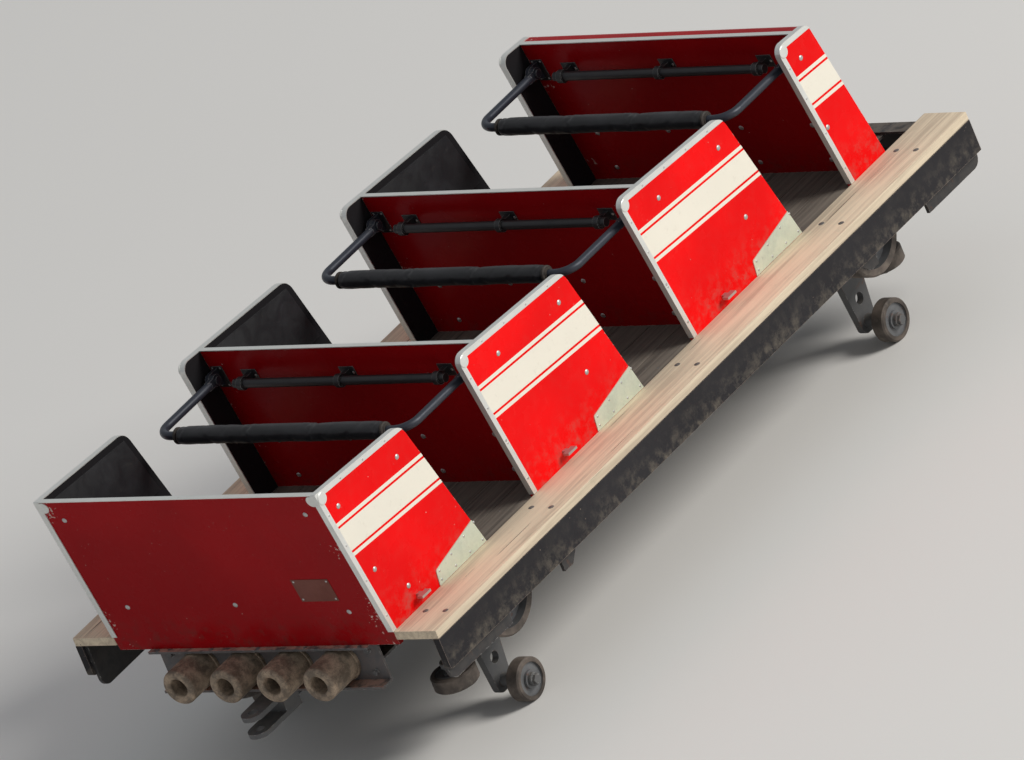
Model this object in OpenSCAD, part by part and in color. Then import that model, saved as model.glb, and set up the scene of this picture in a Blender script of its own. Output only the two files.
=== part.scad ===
// Wooden roller coaster car with three benches, for one train of like cars.
// +X is the direction of travel, +Y the car's left, +Z up. The upstop wheels touch z = 0.

/* [Body] */
// Width across the outer faces of the side panels
body_w = 1140; // [1080:10:1240]
// Height of the panels above the running boards
panel_h = 545; // [500:5:600]
// Lean of the panels and seat backs, in degrees from upright
lean = 9; // [0:1:12]
// Thickness of the painted panels
panel_t = 18; // [12:1:24]
// Distance from the first bench to the second
first_pitch = 800; // [760:10:900]
// Distance from the second bench to the third, and on to the dash
bench_pitch = 920; // [880:10:1000]
// Set-in of the seat backs and the dash from their side panels' rear edges
set_in = 100; // [80:2:110]
// Fall of the side panels' top edges towards the front, in degrees
top_fall = 3.5; // [0:0.5:5]
// Drop of the rear panel below the tops of the running boards
rear_drop = 50; // [40:1:60]

/* [Side panels] */
// Length of the first bench's side panel along its top
first_top = 460; // [420:5:500]
// Length of the first bench's side panel along its bottom
first_bottom = 526; // [500:2:570]
// Length of the other benches' side panels along their tops
panel_top = 574; // [520:2:620]
// Length of the other benches' side panels along their bottoms
panel_bottom = 627; // [600:1:680]
// Length of the dash's side panel along its top
dash_top = 172; // [160:1:200]
// Length of the dash's side panel along its bottom
dash_bottom = 198; // [180:1:230]
// Radius of a panel's front top corner
front_corner_r = 55; // [20:1:70]
// Radius of a panel's rear top corner
rear_corner_r = 30; // [10:1:45]
// Length of a kick plate along the running board
kick_l = 262; // [220:2:300]
// Height of a kick plate at its rear end
kick_rear_h = 52; // [40:1:70]
// Height of a kick plate at the panel's front edge
kick_front_h = 98; // [80:1:130]

/* [Deck] */
// Width of a running board
board_w = 170; // [140:5:200]
// Thickness of a running board
board_t = 30; // [24:1:40]
// Reach of the running boards beyond the dash
nose_reach = 230; // [200:5:280]
// Thickness of the floor
floor_t = 30; // [20:1:40]
// Height of the painted fascia under a running board
fascia_h = 110; // [90:5:125]
// Thickness of the fascia
fascia_t = 25; // [18:1:30]
// Thickness of the side plate behind the fascia
plate_t = 12; // [8:1:16]
// Drop of the side plate at the nose, from the top of the running board
plate_drop = 190; // [170:5:210]

/* [Seats] */
// Height of a seat board's top above the floor
seat_rise = 190; // [160:5:220]
// Depth of a seat from the rear face of its seat back
seat_depth = 410; // [360:5:430]
// Thickness of a seat cushion
seat_pad_t = 95; // [70:1:110]
// Thickness of a back cushion
back_pad_t = 60; // [40:1:70]

/* [Wheels] */
// Diameter of a road wheel
road_d = 260; // [240:2:290]
// Width of a road wheel's tread
road_w = 76; // [60:1:84]
// Diameter of a guide wheel
guide_d = 150; // [130:2:160]
// Width of a guide wheel's tread
guide_w = 50; // [40:1:54]
// Diameter of an upstop wheel
upstop_d = 140; // [120:2:150]
// Width of an upstop wheel's tread
upstop_w = 50; // [40:1:56]
// Diameter of the axles
axle_d = 44; // [36:1:50]
// Distance between the inner edges of the two rails
gauge = 990; // [960:5:1020]
// Depth of the rail that runs between the road and upstop wheels
ledge = 105; // [100:1:120]
// Height of the running boards above the rails
board_rise = 310; // [305:1:330]
// Distance from the boards' nose back to the front axle
front_set = 450; // [430:5:500]
// Distance from the rear panel to the rear axle
rear_set = 500; // [450:5:560]

/* [Chassis] */
// Height of the two long sills
sill_h = 95; // [80:1:100]
// Width of a sill's flanges
sill_w = 50; // [40:1:60]
// Distance between the middles of the two sills
sill_pitch = 800; // [780:5:820]
// Distance of the cross members before and behind each axle
cross_set = 220; // [200:5:240]
// Thickness of the steel sections
steel_t = 8; // [6:1:10]
// Length of the rear beam across the car
rear_beam_w = 890; // [860:10:960]
// Height of the rear beam
rear_beam_h = 150; // [140:1:160]
// Outer diameter of a buffer
buffer_d = 120; // [100:2:130]
// Diameter of a buffer's hollow
buffer_bore = 62; // [50:2:70]
// Length of a buffer from the rear beam's web
buffer_l = 145; // [120:5:150]
// Distance between neighbouring buffers
buffer_pitch = 190; // [170:1:200]

/* [Couplings] */
// Diameter of the coupling pins and their holes
pin_d = 32; // [24:1:36]
// Thickness of the drawbar
drawbar_t = 40; // [30:1:44]
// Width of the drawbar
drawbar_w = 50; // [40:1:60]
// Reach of the drawbar's front hole beyond the nose
drawbar_reach = 257; // [220:1:300]
// Reach of the rear clevis's hole behind the rear panel
clevis_reach = 130; // [110:1:150]

/* [Bars] */
// Diameter of a lap bar's tube
lap_tube_d = 28; // [24:1:32]
// Reach of a lap bar from its hinge to the middle of its cross tube
lap_reach = 330; // [280:5:340]
// Drop of a lap bar's hinge below the seat back's top
lap_drop = 90; // [80:1:110]
// Diameter of a lap bar's pad
lap_pad_d = 66; // [50:1:74]
// Diameter of a grab bar
grab_d = 30; // [24:1:34]
// Distance of a grab bar from the board behind it
grab_off = 50; // [44:1:60]

/* [Hidden] */
$fn = 64;

// Clearances
seat_gap = 0.3;      // between a soft piece and what carries it
run_fit = 0.05;      // radial clearance of a wheel or an eye on its pin
axle_fit = 0.15;     // radial clearance of an axle in its boxes
side_gap = 2;        // beside a wheel or an eye on its pin
join_gap = 0.05;     // between leaning faces that meet

// Colours
RED = "#d4141a";
DARK_RED = "#8e1016";
ALUMINIUM = "#c8cbbd";
TAN = "#b8a88c";
BLACK = "#2a282a";
STEEL = "#5c5f63";
VINYL = "#1c1c1f";
WORN = "#96785f";

// Heights
rail_z = upstop_d + ledge;
axle_z = rail_z + road_d / 2;
board_z = rail_z + board_rise;
floor_z = board_z - 10;
sill_z = floor_z - floor_t;
panel_z = board_z + panel_h;
beam_z = board_z - rear_drop;
plate_z = board_z - plate_drop;
coupling_gap = drawbar_t + 2 * side_gap;
ear_h = 16;                          // thickness of a coupling clevis's ear
coupling_z = beam_z - rear_beam_h - ear_h - coupling_gap / 2;
guide_z = rail_z - ledge / 2;
hinge_z = panel_z - set_in * tan(top_fall) - lap_drop;
seat_z = floor_z + seat_rise;

// Stations along the car
pin_r = pin_d / 2;
eye_r = pin_r + 24;
board_len = first_pitch + 2 * bench_pitch + dash_bottom + nose_reach;
tail = clevis_reach + eye_r;
total_len = tail + board_len + drawbar_reach + eye_r;
x_rear = tail - total_len / 2;
x_nose = x_rear + board_len;
x_back_2 = x_rear + first_pitch;
x_back_3 = x_back_2 + bench_pitch;
x_dash = x_back_3 + bench_pitch;
x_dash_front = x_dash + dash_bottom;
x_swing = x_nose - eye_r - 4;         // pin that the drawbar swings on
x_axle_front = x_nose - front_set;
x_axle_rear = x_rear + rear_set;
web_set = 37;
beam_flange = 55;
x_web = x_rear + web_set;            // rear face of the rear beam's web
front_beam_l = 60;

// Places across the car
body_y = body_w / 2;
inner_y = body_y - panel_t;
deck_y = body_y + board_w;
plate_y = deck_y - fascia_t - plate_t;
rail_y = gauge / 2;
sill_y = sill_pitch / 2;
web_y = sill_y - sill_w / 2;         // inner face of a sill's web

// Side panels: rear edge at board height, top length, bottom length, rear corner, front corner
P_X = 0;
P_TOP = 1;
P_BOTTOM = 2;
P_REAR_R = 3;
P_FRONT_R = 4;
PANELS = [
    [x_rear, first_top, first_bottom, 0, front_corner_r],
    [x_back_2, panel_top, panel_bottom, rear_corner_r, front_corner_r],
    [x_back_3, panel_top, panel_bottom, rear_corner_r, front_corner_r],
    [x_dash, dash_top, dash_bottom, rear_corner_r, front_corner_r * 0.6]
];
// Rear faces, at board height, of the boards behind the three benches and of those ahead of them
BACKS = [x_rear, x_back_2 + set_in, x_back_3 + set_in];
AHEAD = [x_back_2 + set_in, x_back_3 + set_in, x_dash + set_in];

// Trim
trim_t = 3;
trim_lip = 16;

// x of a leaning board's rear face at height z, for a board whose rear edge is at x
function face_x(x, z) = x - (z - board_z) * tan(lean);
// Thickness of a leaning board measured along X
lean_t = panel_t / cos(lean);

function unit(v) = v / norm(v);

// Points along a fillet of radius r at corner b, between its neighbours a and c
function fillet(a, b, c, r, n = 8) =
    let (
        u = unit(a - b),
        v = unit(c - b),
        half = acos(u * v) / 2,
        m = b + unit(u + v) * r / sin(half),
        p = b + u * r / tan(half),
        q = b + v * r / tan(half),
        a0 = atan2(p.y - m.y, p.x - m.x),
        a1 = atan2(q.y - m.y, q.x - m.x),
        sweep = (a1 - a0 + 540) % 360 - 180
    )
    [for (i = [0:n]) m + r * [cos(a0 + sweep * i / n), sin(a0 + sweep * i / n)]];

// An outline whose corners are rounded, each by its own radius
function rounded(points, radii, steps = 8) =
    let (n = len(points))
    [for (i = [0:n - 1])
        each radii[i] > 0
            ? fillet(points[(i + n - 1) % n], points[i], points[(i + 1) % n], radii[i], steps)
            : [points[i]]];

// How far a side panel's front edge runs back for each unit of height
function front_run(row) =
    (row[P_BOTTOM] + panel_h * tan(lean) - row[P_TOP]) / (panel_h - row[P_TOP] * tan(top_fall));

// Where an edge that passes x at board height, and runs back by run, meets its panel's top edge
function top_corner(row, x, run, grow = 0) =
    let (
        fall = tan(top_fall),
        along = x + board_z * run - face_x(row[P_X], panel_z),
        z = (panel_z + grow / cos(top_fall) - along * fall) / (1 - run * fall)
    )
    [x - (z - board_z) * run, z];

// Side panel's outline in the XZ plane, its rear and top edges moved out by grow
function panel_outline(row, grow = 0, bottom = floor_z) =
    let (
        rear = row[P_X] - grow / cos(lean),
        foot = row[P_X] + row[P_BOTTOM],
        run = front_run(row)
    )
    rounded(
        [
            [face_x(rear, bottom), bottom],
            [foot - (bottom - board_z) * run, bottom],
            top_corner(row, foot, run, grow),
            top_corner(row, rear, tan(lean), grow)
        ],
        [0, 0, row[P_FRONT_R] + grow, row[P_REAR_R] + grow]
    );

// Extrudes an outline drawn in X and Z from y to y + t
module across(y, t) {
    translate([0, y + t, 0]) rotate([90, 0, 0]) linear_extrude(t) children();
}

// Draws on both sides of the car
module both_sides() {
    children();
    mirror([0, 1, 0]) children();
}

// A shaft or pin along Y from y0 to y1
module rod_y(x, z, r, y0, y1) {
    translate([x, y0, z]) rotate([-90, 0, 0]) cylinder(r = r, h = y1 - y0);
}

// A board across the car with its rear face at x, cut off along the top edges of its side panels
module leaning_board(row, x, z0, half_w) {
    across(-half_w, 2 * half_w)
        polygon([
            [face_x(x, z0), z0],
            [face_x(x, z0) + lean_t, z0],
            top_corner(row, x + lean_t, tan(lean)),
            top_corner(row, x, tan(lean))
        ]);
}

module side_sills() {
    start = x_web + steel_t;
    color(BLACK) both_sides()
        translate([start, 0, 0]) rotate([90, 0, 90])
            linear_extrude(x_nose - front_beam_l - start)
                translate([web_y, sill_z - sill_h]) difference() {
                    square([sill_w, sill_h]);
                    translate([steel_t, steel_t]) square([sill_w, sill_h - 2 * steel_t]);
                }
}

// Steel channels between the sills
cross_h = 70;
cross_w = 40;
CROSS = [
    x_axle_rear - cross_set, x_axle_rear + cross_set, (x_axle_rear + x_axle_front) / 2,
    x_axle_front - cross_set, x_axle_front + cross_set
];
module cross_members() {
    color(BLACK) for (x = CROSS)
        across(-web_y, 2 * web_y)
            translate([x - cross_w / 2, sill_z - cross_h]) difference() {
                square([cross_w, cross_h]);
                translate([steel_t, steel_t]) square([cross_w, cross_h - 2 * steel_t]);
            }
}

// Brackets that carry the running boards from the sills
outrigger_h = 50;
outrigger_w = 30;
outrigger_root = 60;
outrigger_tip = 20;
tail_set = 120;                      // first bracket's distance from the rear panel
OUTRIGGERS = [
    x_rear + tail_set, x_axle_rear + cross_set, (x_axle_rear + x_axle_front) / 2,
    x_axle_front - cross_set, x_axle_front + cross_set
];
module outriggers() {
    y0 = web_y + sill_w;
    low = sill_z - outrigger_h;
    color(BLACK) both_sides() for (x = OUTRIGGERS)
        translate([x - outrigger_w / 2, 0, 0]) rotate([90, 0, 90]) linear_extrude(outrigger_w)
            polygon([
                [y0, low], [y0 + outrigger_root, low], [plate_y, sill_z - outrigger_tip],
                [plate_y, sill_z], [y0, sill_z]
            ]);
}

// Planks that run along the car, laid on the sills, the cross members and the outriggers
deck_planks = 9;
plank_gap = 2;
module floor_deck() {
    start = face_x(x_rear, beam_z) + lean_t + 1;
    pitch = (2 * body_y + plank_gap) / deck_planks;
    color(TAN) for (i = [0:deck_planks - 1])
        translate([start, -body_y + i * pitch, sill_z])
            cube([x_dash_front - start, pitch - plank_gap, floor_t]);
}

module running_board() {
    color(TAN)
        translate([x_rear, body_y, board_z - board_t]) cube([board_len, board_w, board_t]);
}

module fascia() {
    top = board_z - board_t;
    color(BLACK)
        across(deck_y - fascia_t, fascia_t)
            polygon(rounded(
                [[x_rear, top - fascia_h], [x_nose, top - fascia_h], [x_nose, top], [x_rear, top]],
                [12, 0, 0, 0]
            ));
}

// Side plate: a band along the car, deeper at both ends, with an arch over each road wheel
arch_r = road_d / 2 + 20;
arch_leg = 45;
plate_inset = 12;
nose_r = 35;
module side_plate() {
    top = board_z - board_t;
    band_z = top - fascia_h + 10;
    leg = arch_r + arch_leg;
    rise = band_z - plate_z;
    x_tail = x_rear + plate_inset;
    color(BLACK)
        across(plate_y, plate_t) difference() {
            polygon(rounded(
                [
                    [x_tail, plate_z], [x_axle_rear + leg, plate_z], [x_axle_rear + leg + rise, band_z],
                    [x_axle_front - leg - rise, band_z], [x_axle_front - leg, plate_z], [x_nose, plate_z],
                    [x_nose, top], [x_tail, top]
                ],
                [nose_r, 12, 30, 30, 12, nose_r, 0, 0]
            ));
            for (x = [x_axle_front, x_axle_rear])
                intersection() {
                    translate([x, axle_z]) circle(r = arch_r);
                    translate([x - arch_r, 0]) square([2 * arch_r, band_z]);
                }
        }
}

module rear_beam() {
    color(STEEL)
        across(-rear_beam_w / 2, rear_beam_w)
            translate([x_web + steel_t - beam_flange, beam_z - rear_beam_h]) difference() {
                square([beam_flange, rear_beam_h]);
                translate([-1, steel_t])
                    square([beam_flange - steel_t + 1, rear_beam_h - 2 * steel_t]);
            }
}

// Tubular buffers on the rear beam's web
buffer_foot_t = 12;
buffer_floor_t = 40;
module rear_buffers() {
    r = buffer_d / 2;
    bore = buffer_bore / 2;
    color(WORN) for (i = [-1.5:1:1.5])
        translate([x_web, i * buffer_pitch, beam_z - rear_beam_h / 2]) rotate([0, -90, 0])
            rotate_extrude()
                polygon(rounded(
                    [
                        [0, 0], [r + 4, 0], [r + 4, buffer_foot_t], [r, buffer_foot_t],
                        [r, buffer_l], [bore, buffer_l], [bore, buffer_floor_t], [0, buffer_floor_t]
                    ],
                    [0, 2, 2, 0, 12, 8, 6, 0], 4
                ));
}

// Channel across the nose, with the clevis and pin that the drawbar swings on
clevis_block = 30;
pin_head = 4;
module front_beam() {
    low = plate_z;
    high = board_z - board_t;
    ear_z = coupling_z - coupling_gap / 2;
    x_block = x_swing - 2 * eye_r + 4;
    color(BLACK) {
        across(-plate_y, 2 * plate_y)
            translate([x_nose - front_beam_l, low]) difference() {
                square([front_beam_l, high - low]);
                translate([-1, steel_t])
                    square([front_beam_l - steel_t + 1, high - low - 2 * steel_t]);
            }
        for (z = [[ear_z - ear_h, ear_z], [ear_z + coupling_gap, low]])
            translate([0, 0, z[0]]) linear_extrude(z[1] - z[0]) {
                translate([x_swing, 0]) circle(r = eye_r);
                translate([x_block, -eye_r]) square([x_swing - x_block, 2 * eye_r]);
            }
        translate([x_block, -eye_r, ear_z - ear_h]) cube([clevis_block, 2 * eye_r, low - ear_z + ear_h]);
        translate([x_swing, 0, ear_z - ear_h])
            cylinder(r = pin_r - run_fit, h = coupling_gap + ear_h + pin_head);
    }
}

module drawbar() {
    x_eye = x_nose + drawbar_reach;
    color(STEEL)
        translate([0, 0, coupling_z - drawbar_t / 2]) linear_extrude(drawbar_t) difference() {
            union() {
                translate([x_swing, 0]) circle(r = eye_r - 6);
                translate([x_eye, 0]) circle(r = eye_r);
                translate([x_swing, -drawbar_w / 2]) square([x_eye - x_swing, drawbar_w]);
            }
            translate([x_swing, 0]) circle(r = pin_r);
            translate([x_eye, 0]) circle(r = pin_r);
        }
}

clevis_slot = 60;                      // of the slot, behind the eye
module rear_clevis() {
    x_eye = x_rear - clevis_reach;
    ear_z = coupling_z - coupling_gap / 2 - ear_h;
    color(STEEL) difference() {
        translate([0, 0, ear_z]) linear_extrude(coupling_gap + 2 * ear_h) difference() {
            union() {
                translate([x_eye, 0]) circle(r = eye_r);
                translate([x_eye, -eye_r]) square([x_web + steel_t - x_eye, 2 * eye_r]);
            }
            translate([x_eye, 0]) circle(r = pin_r);
        }
        translate([x_eye - eye_r - 1, -eye_r - 1, coupling_z - coupling_gap / 2])
            cube([2 * eye_r + clevis_slot, 2 * eye_r + 2, coupling_gap]);
    }
}

module rear_panel() {
    color(DARK_RED) leaning_board(PANELS[0], x_rear, beam_z, body_y);
}

module seat_back(k) {
    color(DARK_RED) leaning_board(PANELS[k], BACKS[k], floor_z, inner_y);
}

// Box across the front between the two dash sides, open below
module dash() {
    row = PANELS[3];
    run = front_run(row);
    rear = x_dash + set_in;
    low = floor_z;
    color(DARK_RED)
        across(-inner_y, 2 * inner_y) difference() {
            polygon(rounded(
                [
                    [face_x(rear, low), low], [x_dash_front - (low - board_z) * run, low],
                    top_corner(row, x_dash_front, run), top_corner(row, rear, tan(lean))
                ],
                [0, 0, row[P_FRONT_R], 0]
            ));
            polygon([
                [face_x(rear, low - 1) + lean_t, low - 1],
                [x_dash_front - (low - 1 - board_z) * run - lean_t, low - 1],
                top_corner(row, x_dash_front - lean_t, run, -panel_t),
                top_corner(row, rear + lean_t, tan(lean), -panel_t)
            ]);
        }
}

// What the rear panel takes from the rear edges of the first side panels
module rear_panel_slot() {
    low = floor_z - 5;
    high = panel_z + 5;
    polygon([
        [face_x(x_rear, low) - 5, low], [face_x(x_rear, low) + lean_t, low],
        [face_x(x_rear, high) + lean_t, high], [face_x(x_rear, high) - 5, high]
    ]);
}

module side_panels() {
    color(RED) for (row = PANELS)
        across(inner_y, panel_t) difference() {
            polygon(panel_outline(row));
            if (row[P_X] == x_rear) rear_panel_slot();
        }
}

// Aluminium plate over the lower front corner of each bench's side panel
module kick_plates() {
    color(ALUMINIUM) both_sides() for (row = [PANELS[0], PANELS[1], PANELS[2]])
        across(body_y, trim_t) intersection() {
            polygon(panel_outline(row, 0, board_z + 1));
            translate([row[P_X] + row[P_BOTTOM] - kick_l, board_z])
                polygon(rounded(
                    [[0, 0], [kick_l, 0], [kick_l, kick_front_h], [8, kick_rear_h]],
                    [0, 0, 0, 8]
                ));
        }
}

// Trim over the rear and top edges of a side panel, with a lip on its outer face
module side_trim(row) {
    low = board_z + 1;
    inside = row[P_X] + trim_lip / cos(lean);
    beyond = row[P_X] + row[P_BOTTOM] + 100;
    difference() {
        across(inner_y, panel_t + trim_t) polygon(panel_outline(row, trim_t, low));
        across(inner_y - 1, panel_t + 1) polygon(panel_outline(row, join_gap, low - 1));
        across(inner_y - 1, panel_t + trim_t + 2)
            polygon([
                [face_x(inside, low - 1), low - 1], [beyond, low - 1],
                top_corner(row, beyond, 0, -trim_lip), top_corner(row, inside, tan(lean), -trim_lip)
            ]);
    }
}

// Cap along the top of a board across the car, its rear face at x
module board_cap(row, x) {
    half_w = inner_y - seat_gap;
    across(-half_w, 2 * half_w)
        polygon([
            top_corner(row, x - trim_t, tan(lean)), top_corner(row, x + lean_t, tan(lean)),
            top_corner(row, x + lean_t, tan(lean), trim_t), top_corner(row, x - trim_t, tan(lean), trim_t)
        ]);
}

module edge_trims() {
    color(ALUMINIUM) {
        both_sides() for (row = PANELS) side_trim(row);
        for (k = [0:2]) board_cap(PANELS[k], BACKS[k]);
        board_cap(PANELS[3], AHEAD[2]);
    }
}

// Boards under the seat cushions, from the seat back to the riser
module seat_boards() {
    color(TAN) for (x = BACKS)
        across(-inner_y, 2 * inner_y)
            polygon([
                [face_x(x, seat_z - panel_t) + lean_t, seat_z - panel_t],
                [x + seat_depth, seat_z - panel_t],
                [x + seat_depth, seat_z],
                [face_x(x, seat_z) + lean_t, seat_z]
            ]);
}

module seat_risers() {
    color(DARK_RED) for (x = BACKS)
        translate([x + seat_depth - panel_t, -inner_y, floor_z])
            cube([panel_t, 2 * inner_y, seat_rise - panel_t]);
}

// Seat cushion, rounded along its front and rear top edges
module seat_cushion(x) {
    z0 = seat_z + seat_gap;
    z1 = seat_z + seat_pad_t;
    rear = face_x(x, z0) + lean_t + seat_gap;
    half_w = inner_y - 6;
    color(VINYL) across(-half_w, 2 * half_w)
        polygon(rounded(
            [
                [rear, z0], [x + seat_depth + 8, z0], [x + seat_depth + 8, z1],
                [face_x(x, z1) + lean_t + seat_gap, z1]
            ],
            [0, 10, 32, 20]
        ));
}

module back_cushions() {
    z0 = seat_z + seat_pad_t + seat_gap;
    z1 = panel_z - 30;
    half_w = inner_y - 6;
    color(VINYL) for (x = BACKS)
        across(-half_w, 2 * half_w) let (front = lean_t + seat_gap + back_pad_t)
            polygon(rounded(
                [
                    [face_x(x, z0) + lean_t + seat_gap, z0], [face_x(x, z0) + front, z0],
                    [face_x(x, z1) + front, z1], [face_x(x, z1) + lean_t + seat_gap, z1]
                ],
                [0, 12, 28, 12]
            ));
}

// Grab bar behind each board, held by three posts
grab_drop = 100;
grab_inset = 122;                      // from a side panel to the bar's end
grab_half = inner_y - grab_inset;
post_half = grab_half - 30;
POSTS = [-post_half, 0, post_half];
grab_z = panel_z - set_in * tan(top_fall) - grab_drop;
module grab_bars() {
    color(BLACK) for (x = AHEAD)
        rod_y(face_x(x, grab_z) - grab_off, grab_z, grab_d / 2, -grab_half, grab_half);
}

module grab_bar_posts() {
    post_w = 20;
    post_h = 13;
    post_wall = 7;
    color(BLACK) for (x = AHEAD, y = POSTS) {
        xc = face_x(x, grab_z) - grab_off;
        seat = x - join_gap;
        across(y - post_w / 2, post_w) difference() {
            union() {
                translate([xc, grab_z]) circle(r = grab_d / 2 + post_wall);
                polygon([
                    [xc, grab_z - post_h], [face_x(seat, grab_z - post_h), grab_z - post_h],
                    [face_x(seat, grab_z + post_h), grab_z + post_h], [xc, grab_z + post_h]
                ]);
            }
            translate([xc, grab_z]) circle(r = grab_d / 2 + run_fit);
        }
    }
}

// Lap bar hinges: an ear on the board's rear face with a pin that points inwards
hinge_off = 42;
hinge_pin_r = 8;
ear_t = 14;
ear_y = inner_y - 32;
arm_y = ear_y - side_gap - ear_t / 2;
function hinge_x(k) = face_x(AHEAD[k], hinge_z) - hinge_off;

module lap_bar_brackets() {
    half_h = 22;
    head_y = arm_y - ear_t / 2 - side_gap;
    color(STEEL) both_sides() for (k = [0:2]) {
        xh = hinge_x(k);
        seat = AHEAD[k] - join_gap;
        across(ear_y, ear_t) {
            translate([xh, hinge_z]) circle(r = half_h);
            polygon([
                [xh, hinge_z - half_h],
                [face_x(seat, hinge_z - 2 * half_h), hinge_z - 2 * half_h],
                [face_x(seat, hinge_z + half_h), hinge_z + half_h],
                [xh, hinge_z + half_h]
            ]);
        }
        rod_y(xh, hinge_z, hinge_pin_r, head_y - 5, ear_y + 1);
        rod_y(xh, hinge_z, hinge_pin_r + 5, head_y - 5, head_y);
    }
}

lap_bend_r = 60;
lap_eye_r = 20;
lap_arm_start = 34;
lap_pad_set = 30;                    // from the end of a cross tube's straight to its pad
module lap_bar(k) {
    r = lap_tube_d / 2;
    color(STEEL) translate([hinge_x(k), 0, hinge_z]) {
        both_sides() {
            translate([0, arm_y - ear_t / 2, 0]) across(0, ear_t) difference() {
                union() {
                    circle(r = lap_eye_r);
                    translate([-lap_arm_start - 10, -lap_tube_d / 2])
                        square([lap_arm_start + 10, lap_tube_d]);
                }
                circle(r = hinge_pin_r + run_fit);
            }
            translate([-lap_arm_start, arm_y, 0]) rotate([0, -90, 0])
                cylinder(r = r, h = lap_reach - lap_bend_r - lap_arm_start);
            translate([lap_bend_r - lap_reach, arm_y - lap_bend_r, 0])
                rotate([0, 0, 90]) rotate_extrude(angle = 90) translate([lap_bend_r, 0]) circle(r = r);
        }
        rod_y(-lap_reach, 0, r, lap_bend_r - arm_y, arm_y - lap_bend_r);
    }
}

module lap_pad(k) {
    half = arm_y - lap_bend_r - lap_pad_set;
    color(VINYL) translate([hinge_x(k) - lap_reach, 0, hinge_z]) difference() {
        rod_y(0, 0, lap_pad_d / 2, -half, half);
        rod_y(0, 0, lap_tube_d / 2 + seat_gap, -half - 1, half + 1);
    }
}

// Pedal that lets a lap bar go, low on each side panel
pedal_share = 0.31;                    // place along the panel's foot
pedal_z = board_z + 32;
pedal_reach = 36;
pedal_w = 46;
pedal_l = 22;
pedal_t = 8;
module release_pedals() {
    color(STEEL) both_sides() for (row = [PANELS[0], PANELS[1], PANELS[2]])
        translate([row[P_X] + row[P_BOTTOM] * pedal_share, body_y, pedal_z]) {
            translate([-pedal_w / 2, pedal_reach - pedal_l, 0]) cube([pedal_w, pedal_l, pedal_t]);
            translate([-9, 0, 0]) cube([18, pedal_reach - 10, pedal_t]);
        }
}

// Road wheels: tyre, rim, web and hub are turned in one, with a dished web and holes in it
tyre_t = 16;
rim_t = 12;
web_t = 18;                            // web's thickness at the hub
web_fall = 2;                          // what each face of the web loses out to the rim
hub_wall = 26;
hub_reach = 12;
shaft_reach = 24;                      // shaft's end beyond the tyre's outer face
rail_set = 14;                         // from the rail's inner edge to the tyre
web_holes = 6;
web_hole_r = 13;
module wheelset(x) {
    rw = road_w / 2;
    y0 = rail_y + rail_set + rw;
    tyre_r = road_d / 2;
    rim_r = tyre_r - tyre_t - rim_t;
    hub_r = axle_d / 2 + hub_wall;
    web = web_t / 2;
    color(STEEL) difference() {
        union() {
            rod_y(x, axle_z, axle_d / 2, -y0 - rw - shaft_reach, y0 + rw + shaft_reach);
            both_sides() translate([x, y0, axle_z]) rotate([-90, 0, 0]) rotate_extrude()
                polygon([
                    [0, -rw - 4], [hub_r, -rw - 4], [hub_r, -web], [rim_r, web_fall - web],
                    [rim_r + 2, 3 - rw], [tyre_r - 6, -rw], [tyre_r, 6 - rw],
                    [tyre_r, rw - 6], [tyre_r - 6, rw], [rim_r + 2, rw - 3],
                    [rim_r, web - web_fall], [hub_r, web], [hub_r, rw + hub_reach - 4],
                    [hub_r - 8, rw + hub_reach], [0, rw + hub_reach]
                ]);
        }
        both_sides() for (i = [0:web_holes - 1])
            translate([x, y0, axle_z]) rotate([0, 360 / web_holes * i, 0])
                translate([0, 0, (hub_r + rim_r) / 2]) rotate([-90, 0, 0])
                    cylinder(r = web_hole_r, h = road_w, center = true);
    }
}

// Small wheel on a pin, its middle at the origin and its axis along Z
small_hub_wall = 16;
small_tyre_t = 16;
module small_wheel(d, w, bore_r) {
    rw = w / 2;
    r = d / 2;
    hub_r = bore_r + small_hub_wall;
    rim_r = r - small_tyre_t;
    dish = rw - 8;
    rotate_extrude()
        polygon([
            [bore_r, -rw - 1], [hub_r, -rw - 1], [hub_r, -dish], [rim_r - 2, -dish],
            [rim_r, -rw], [r - 5, -rw], [r, 5 - rw], [r, rw - 5], [r - 5, rw],
            [rim_r, rw], [rim_r - 2, dish], [hub_r, dish], [hub_r, rw + 1], [bore_r, rw + 1]
        ]);
}

// Trucks: each has an axle box, a drop plate with the upstop's pin, and an arm with the guide's pin
truck_pin_r = 14;
box_w = 70;
foot_l = 170;
foot_t = 14;
cap_wall = 24;                         // wall of the axle box's lower cap around the axle
drop_t = 25;
drop_l = 140;
drop_wall = 22;                        // around the upstop's pin
drop_bend = 60;
rib_t = 14;
arm_t = 18;
arm_root = 60;
boss_r = 30;                           // around the guide's pin
pin_collar = 8;                        // width of a collar or nut around a truck's pin
nut_h = 9;
guide_set = 175;                       // guide wheel's distance ahead of or behind the axle
guide_y = rail_y - 2 - guide_d / 2;
upstop_y = rail_y + 4 + upstop_w / 2;
upstop_z = upstop_d / 2;
arm_z = guide_z + guide_w / 2 + 16;    // underside of the guide's arm
box_top = sill_z - sill_h;
box_low = axle_z - axle_d / 2 - cap_wall;

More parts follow.
